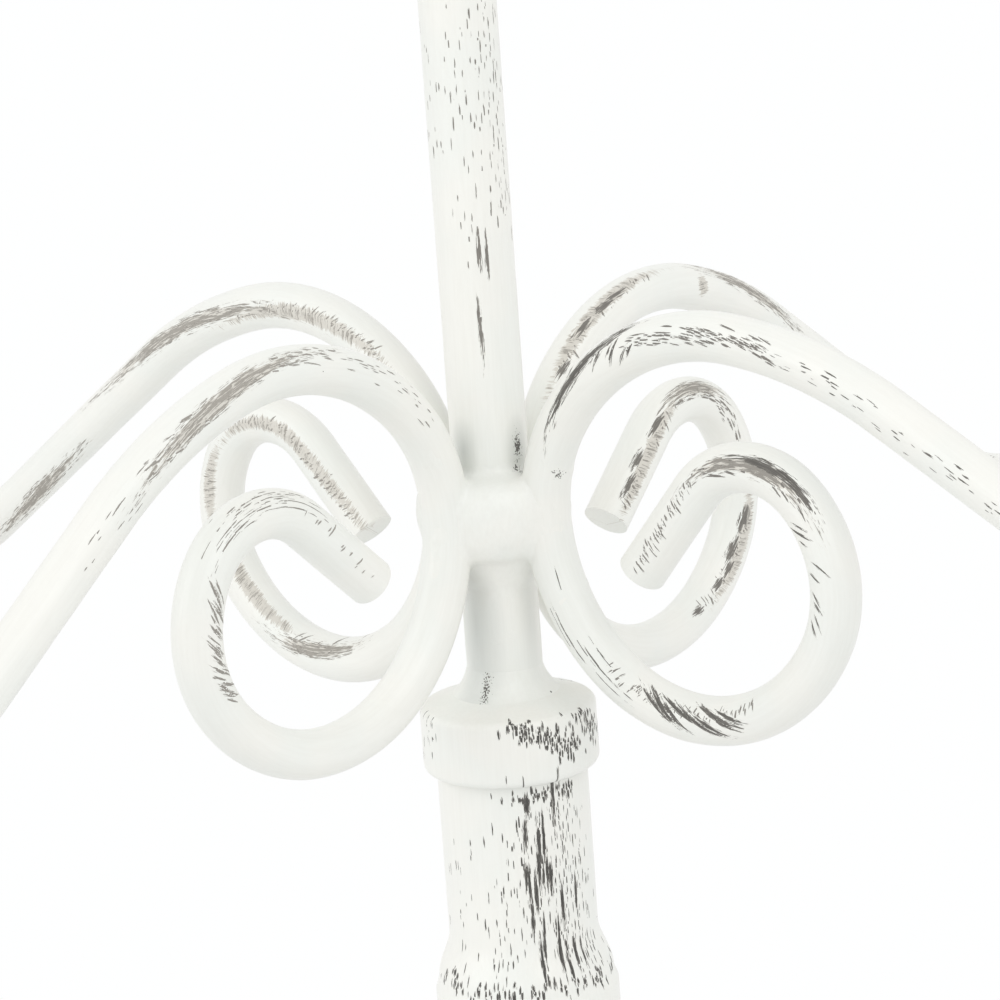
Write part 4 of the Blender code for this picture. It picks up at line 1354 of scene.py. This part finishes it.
class CANDELABRA_OT_lights(bpy.types.Operator):
    """Turn the drip pans and candle cups and set them on the arms and the post"""

    bl_idname = "candelabra.lights"
    bl_label = "Set the Pans and Cups"

    def execute(self, context):
        steps = context.scene.candelabra_form.turn_steps
        rim = radius_of("drip_pan_centre")
        depth = high("drip_pan_centre").z - low("drip_pan_centre").z
        roll = 0.8 * PAN_THICKNESS
        roll_foot = (rim - 1.2 * roll, depth - 2.2 * roll)
        flank = (rim - roll - PAN_HUB_RADIUS) * 0.55
        turn_up = (PAN_HUB_RADIUS + flank, PAN_THICKNESS / 2)
        outline = arc(rim - roll, depth - roll, roll, 200, -40, 14)
        outline += ease(roll_foot, turn_up, 16)
        outline += [(PAN_HUB_RADIUS, 0.0), (SCREW_HOLE, 0.0)]
        outline += [(SCREW_HOLE, PAN_THICKNESS), (PAN_HUB_RADIUS, PAN_THICKNESS)]
        outline += [(radius - 0.8 * PAN_THICKNESS, height + 0.9 * PAN_THICKNESS)
                    for radius, height in ease(turn_up, roll_foot, 16)]
        outline = [(radius, height + GAP) for radius, height in outline]
        master = turned("pan master", outline, steps)
        pans = set_on_seats("pan_turnings", master, TURNINGS_PAINT)
        rubs = scattered_rubs(21, 50, (0.5, depth / MM), size=(2.0, 8.0))
        rubs += edge_rubs(depth / MM, width=1.8, dark=0.42)
        wear_on_seats(pans, rubs)
        hand_over(pans, ["drip_pan_" + light for light in LIGHT_NAMES])

        base = PAN_THICKNESS + 2 * GAP
        top = high("candle_cup_centre").z - seat_of("centre").z
        floor = base + CUP_STEM_HEIGHT
        shell = CUP_BORE_RADIUS + CUP_WALL
        spare = radius_of("candle_cup_centre") - CUP_LIP - CUP_WALL - CUP_BORE_RADIUS
        cup_foot = 0.00925
        sink = SCREW_HEAD_RADIUS + GAP
        head_seat = floor - SCREW_HEAD_HEIGHT - 2 * GAP
        outline = [(CUP_BORE_RADIUS, top), (shell, top)]
        outline += bead(shell, top - CUP_LIP / 3, 3 * CUP_LIP, CUP_LIP + min(0.0, spare), 12)
        outline += [(shell, floor + 2 * CUP_WALL)]
        stem_top = (CUP_STEM_RADIUS, floor - 1.6 * CUP_WALL)
        outline += ease((shell - CUP_WALL / 3, floor + CUP_WALL), stem_top, 12)
        outline += arc(CUP_STEM_RADIUS, base + 3.1 * CUP_WALL, 0.0006, 80, -80, 8)
        outline += [(CUP_STEM_RADIUS, base + 2.4 * CUP_WALL)]
        outline += ease((CUP_STEM_RADIUS, base + 2.0 * CUP_WALL), (cup_foot, base + 0.6 * CUP_WALL), 8)
        outline += [(cup_foot, base), (SCREW_HOLE, base), (SCREW_HOLE, head_seat), (sink, head_seat)]
        outline += [(sink, floor), (CUP_BORE_RADIUS, floor)]
        master = turned("cup master", outline, steps // 2, 0.0002)
        cups = set_on_seats("cup_turnings", master, TURNINGS_PAINT)
        rubs = scattered_rubs(22, 60, (base / MM, top / MM), size=(1.5, 6.0))
        rubs += edge_rubs(top / MM, top / MM - 2, base / MM + 0.5, dark=0.42)
        wear_on_seats(cups, rubs)
        hand_over(cups, ["candle_cup_" + light for light in LIGHT_NAMES])
        return {"FINISHED"}


class CANDELABRA_OT_fasteners(bpy.types.Operator):
    """Make the cup screws and finish the rod, washer and nut"""

    bl_idname = "candelabra.fasteners"
    bl_label = "Fit the Fasteners"

    def execute(self, context):
        seat = seat_of("centre").z
        crown = high("cup_screw_centre").z - seat
        tip = low("cup_screw_centre").z - seat
        under_head = crown - SCREW_HEAD_HEIGHT
        shank = SCREW_HOLE - GAP
        head = SCREW_HEAD_RADIUS
        outline = [(0.0, crown), (0.5 * head, crown - 0.2 * MM), (0.8 * head, crown - 0.6 * MM)]
        outline += [(head, under_head + 1.2 * MM), (head, under_head)]
        outline += [(shank, under_head), (shank, tip), (0.0, tip)]
        master = turned("screw master", outline, 32, 0.0, 0.01)
        slot = bpy.data.meshes.new("slot")
        form = bmesh.new()
        depth = 0.45 * SCREW_HEAD_HEIGHT
        size = Matrix.Diagonal((4 * head, SCREW_SLOT, 2 * depth, 1.0))
        bmesh.ops.create_cube(form, size=1.0, matrix=Matrix.Translation((0.0, 0.0, crown)) @ size)
        form.to_mesh(slot)
        form.free()
        cutter = add_object("slot", slot)
        boolean = master.modifiers.new("slot", "BOOLEAN")
        boolean.object = cutter
        master = settle(master)
        bpy.data.objects.remove(cutter)
        screws = set_on_seats("cup_screw_set", master, STEEL, 8)
        hand_over(screws, ["cup_screw_" + light for light in LIGHT_NAMES])
        for node in ("tie_rod", "rod_washer", "rod_nut"):
            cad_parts[node].data.materials.clear()
            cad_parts[node].data.materials.append(bpy.data.materials[STEEL])
        return {"FINISHED"}


def make_floor(stage):
    """A pale floor that keeps the shadow near the object and fades to the backdrop further off."""
    mesh = bpy.data.meshes.new("floor")
    form = bmesh.new()
    bmesh.ops.create_circle(form, cap_ends=True, segments=64, radius=FLOOR_RADIUS)
    form.to_mesh(mesh)
    form.free()
    floor = add_object("floor", mesh)
    material, tree, shader = new_material("pale floor")
    shader.inputs["Base Color"].default_value = (*stage.floor_colour, 1.0)
    shader.inputs["Roughness"].default_value = 0.7
    glow = add_node(tree, "ShaderNodeEmission", {"Color": (*stage.backdrop, 1.0), "Strength": 1.0})
    place = add_node(tree, "ShaderNodeTexCoord").outputs["Object"]
    distance = add_node(tree, "ShaderNodeVectorMath", {0: place}, operation="LENGTH").outputs["Value"]
    far = ramp(tree, distance, *FLOOR_FADE)
    seen = background_share(tree)
    mixer = add_node(tree, "ShaderNodeMixShader", {0: maths(tree, "MULTIPLY", far, seen)})
    tree.links.new(shader.outputs[0], mixer.inputs[1])
    tree.links.new(glow.outputs[0], mixer.inputs[2])
    tree.links.new(mixer.outputs[0], tree.nodes["Material Output"].inputs["Surface"])
    mesh.materials.append(material)


def background_share(tree):
    """1 for rays that show the background: straight from the camera, or by gloss or glass."""
    rays = add_node(tree, "ShaderNodeLightPath").outputs
    seen = maths(tree, "MAXIMUM", rays["Is Camera Ray"], rays["Is Glossy Ray"])
    return maths(tree, "MAXIMUM", seen, rays["Is Transmission Ray"])


def make_sky(stage):
    world = bpy.data.worlds.new("soft sky")
    bpy.context.scene.world = world
    world.use_nodes = True
    tree = world.node_tree
    background = tree.nodes["Background"]
    background.inputs["Color"].default_value = (*stage.backdrop, 1.0)
    strength = ramp(tree, background_share(tree), 0.0, 1.0, stage.sky_strength, 1.0)
    tree.links.new(strength, background.inputs["Strength"])


def add_lamp(name, place, power):
    """A square soft lamp aimed at the arm welds."""
    lamp = bpy.data.lights.new(name, "AREA")
    lamp.size = LAMP_SIZE
    lamp.energy = power
    obj = add_object(name, lamp)
    obj.location = place
    aim = Vector((0.0, 0.0, ARM_LEVEL)) - Vector(place)
    obj.rotation_euler = aim.to_track_quat("-Z", "Y").to_euler()


class CANDELABRA_OT_stage(bpy.types.Operator):
    """Set the floor, the lights and the camera"""

    bl_idname = "candelabra.stage"
    bl_label = "Set the Stage"

    def execute(self, context):
        scene = context.scene
        stage = scene.candelabra_stage
        make_floor(stage)
        make_sky(stage)
        add_lamp("key lamp", KEY_PLACE, stage.key_power)
        add_lamp("fill lamp", FILL_PLACE, stage.fill_power)
        scene.view_settings.view_transform = "Standard"

        camera = bpy.data.cameras.new("camera")
        camera.lens = CAMERA_LENS
        camera.sensor_width = 36.0
        camera.clip_start = 0.01
        viewer = add_object("camera", camera)
        turn = Matrix.Rotation(math.radians(-CAMERA_HEADING), 4, "Z")
        turn = turn @ Matrix.Rotation(math.radians(90 + CAMERA_PITCH), 4, "X")
        turn = turn @ Matrix.Rotation(math.radians(CAMERA_ROLL), 4, "Z")
        viewer.matrix_world = Matrix.Translation(CAMERA_OFFSET + Vector((0.0, 0.0, ARM_LEVEL))) @ turn
        scene.camera = viewer
        return {"FINISHED"}


STEPS = (
    CANDELABRA_OT_materials,
    CANDELABRA_OT_arms,
    CANDELABRA_OT_post,
    CANDELABRA_OT_welds,
    CANDELABRA_OT_cap,
    CANDELABRA_OT_column,
    CANDELABRA_OT_foot,
    CANDELABRA_OT_lights,
    CANDELABRA_OT_fasteners,
    CANDELABRA_OT_stage,
)


class CANDELABRA_PT_panel(bpy.types.Panel):
    """Lists the steps and their settings"""

    bl_label = "Worn Candelabra"
    bl_idname = "CANDELABRA_PT_panel"
    bl_space_type = "VIEW_3D"
    bl_region_type = "UI"
    bl_category = "Candelabra"

    def draw(self, context):
        scene = context.scene
        for settings in (scene.candelabra_paint, scene.candelabra_form, scene.candelabra_stage):
            box = self.layout.box()
            for key in settings.bl_rna.properties.keys():
                if key not in ("rna_type", "name"):
                    box.prop(settings, key)
        for step in STEPS:
            self.layout.operator(step.bl_idname)


SETTINGS = {
    "candelabra_paint": PaintSettings,
    "candelabra_form": FormSettings,
    "candelabra_stage": StageSettings,
}


def register():
    for group in SETTINGS.values():
        bpy.utils.register_class(group)
    for name, group in SETTINGS.items():
        setattr(bpy.types.Scene, name, bpy.props.PointerProperty(type=group))
    for step in STEPS:
        bpy.utils.register_class(step)
    bpy.utils.register_class(CANDELABRA_PT_panel)


def unregister():
    bpy.utils.unregister_class(CANDELABRA_PT_panel)
    for step in reversed(STEPS):
        bpy.utils.unregister_class(step)
    for name in SETTINGS:
        delattr(bpy.types.Scene, name)
    for group in SETTINGS.values():
        bpy.utils.unregister_class(group)


def main():
    """Runs every step in order."""
    register()
    bpy.ops.candelabra.materials()
    bpy.ops.candelabra.arms()
    bpy.ops.candelabra.post()
    bpy.ops.candelabra.welds()
    bpy.ops.candelabra.cap()
    bpy.ops.candelabra.column()
    bpy.ops.candelabra.foot()
    bpy.ops.candelabra.lights()
    bpy.ops.candelabra.fasteners()
    bpy.ops.candelabra.stage()


if __name__ == "__main__":
    main()
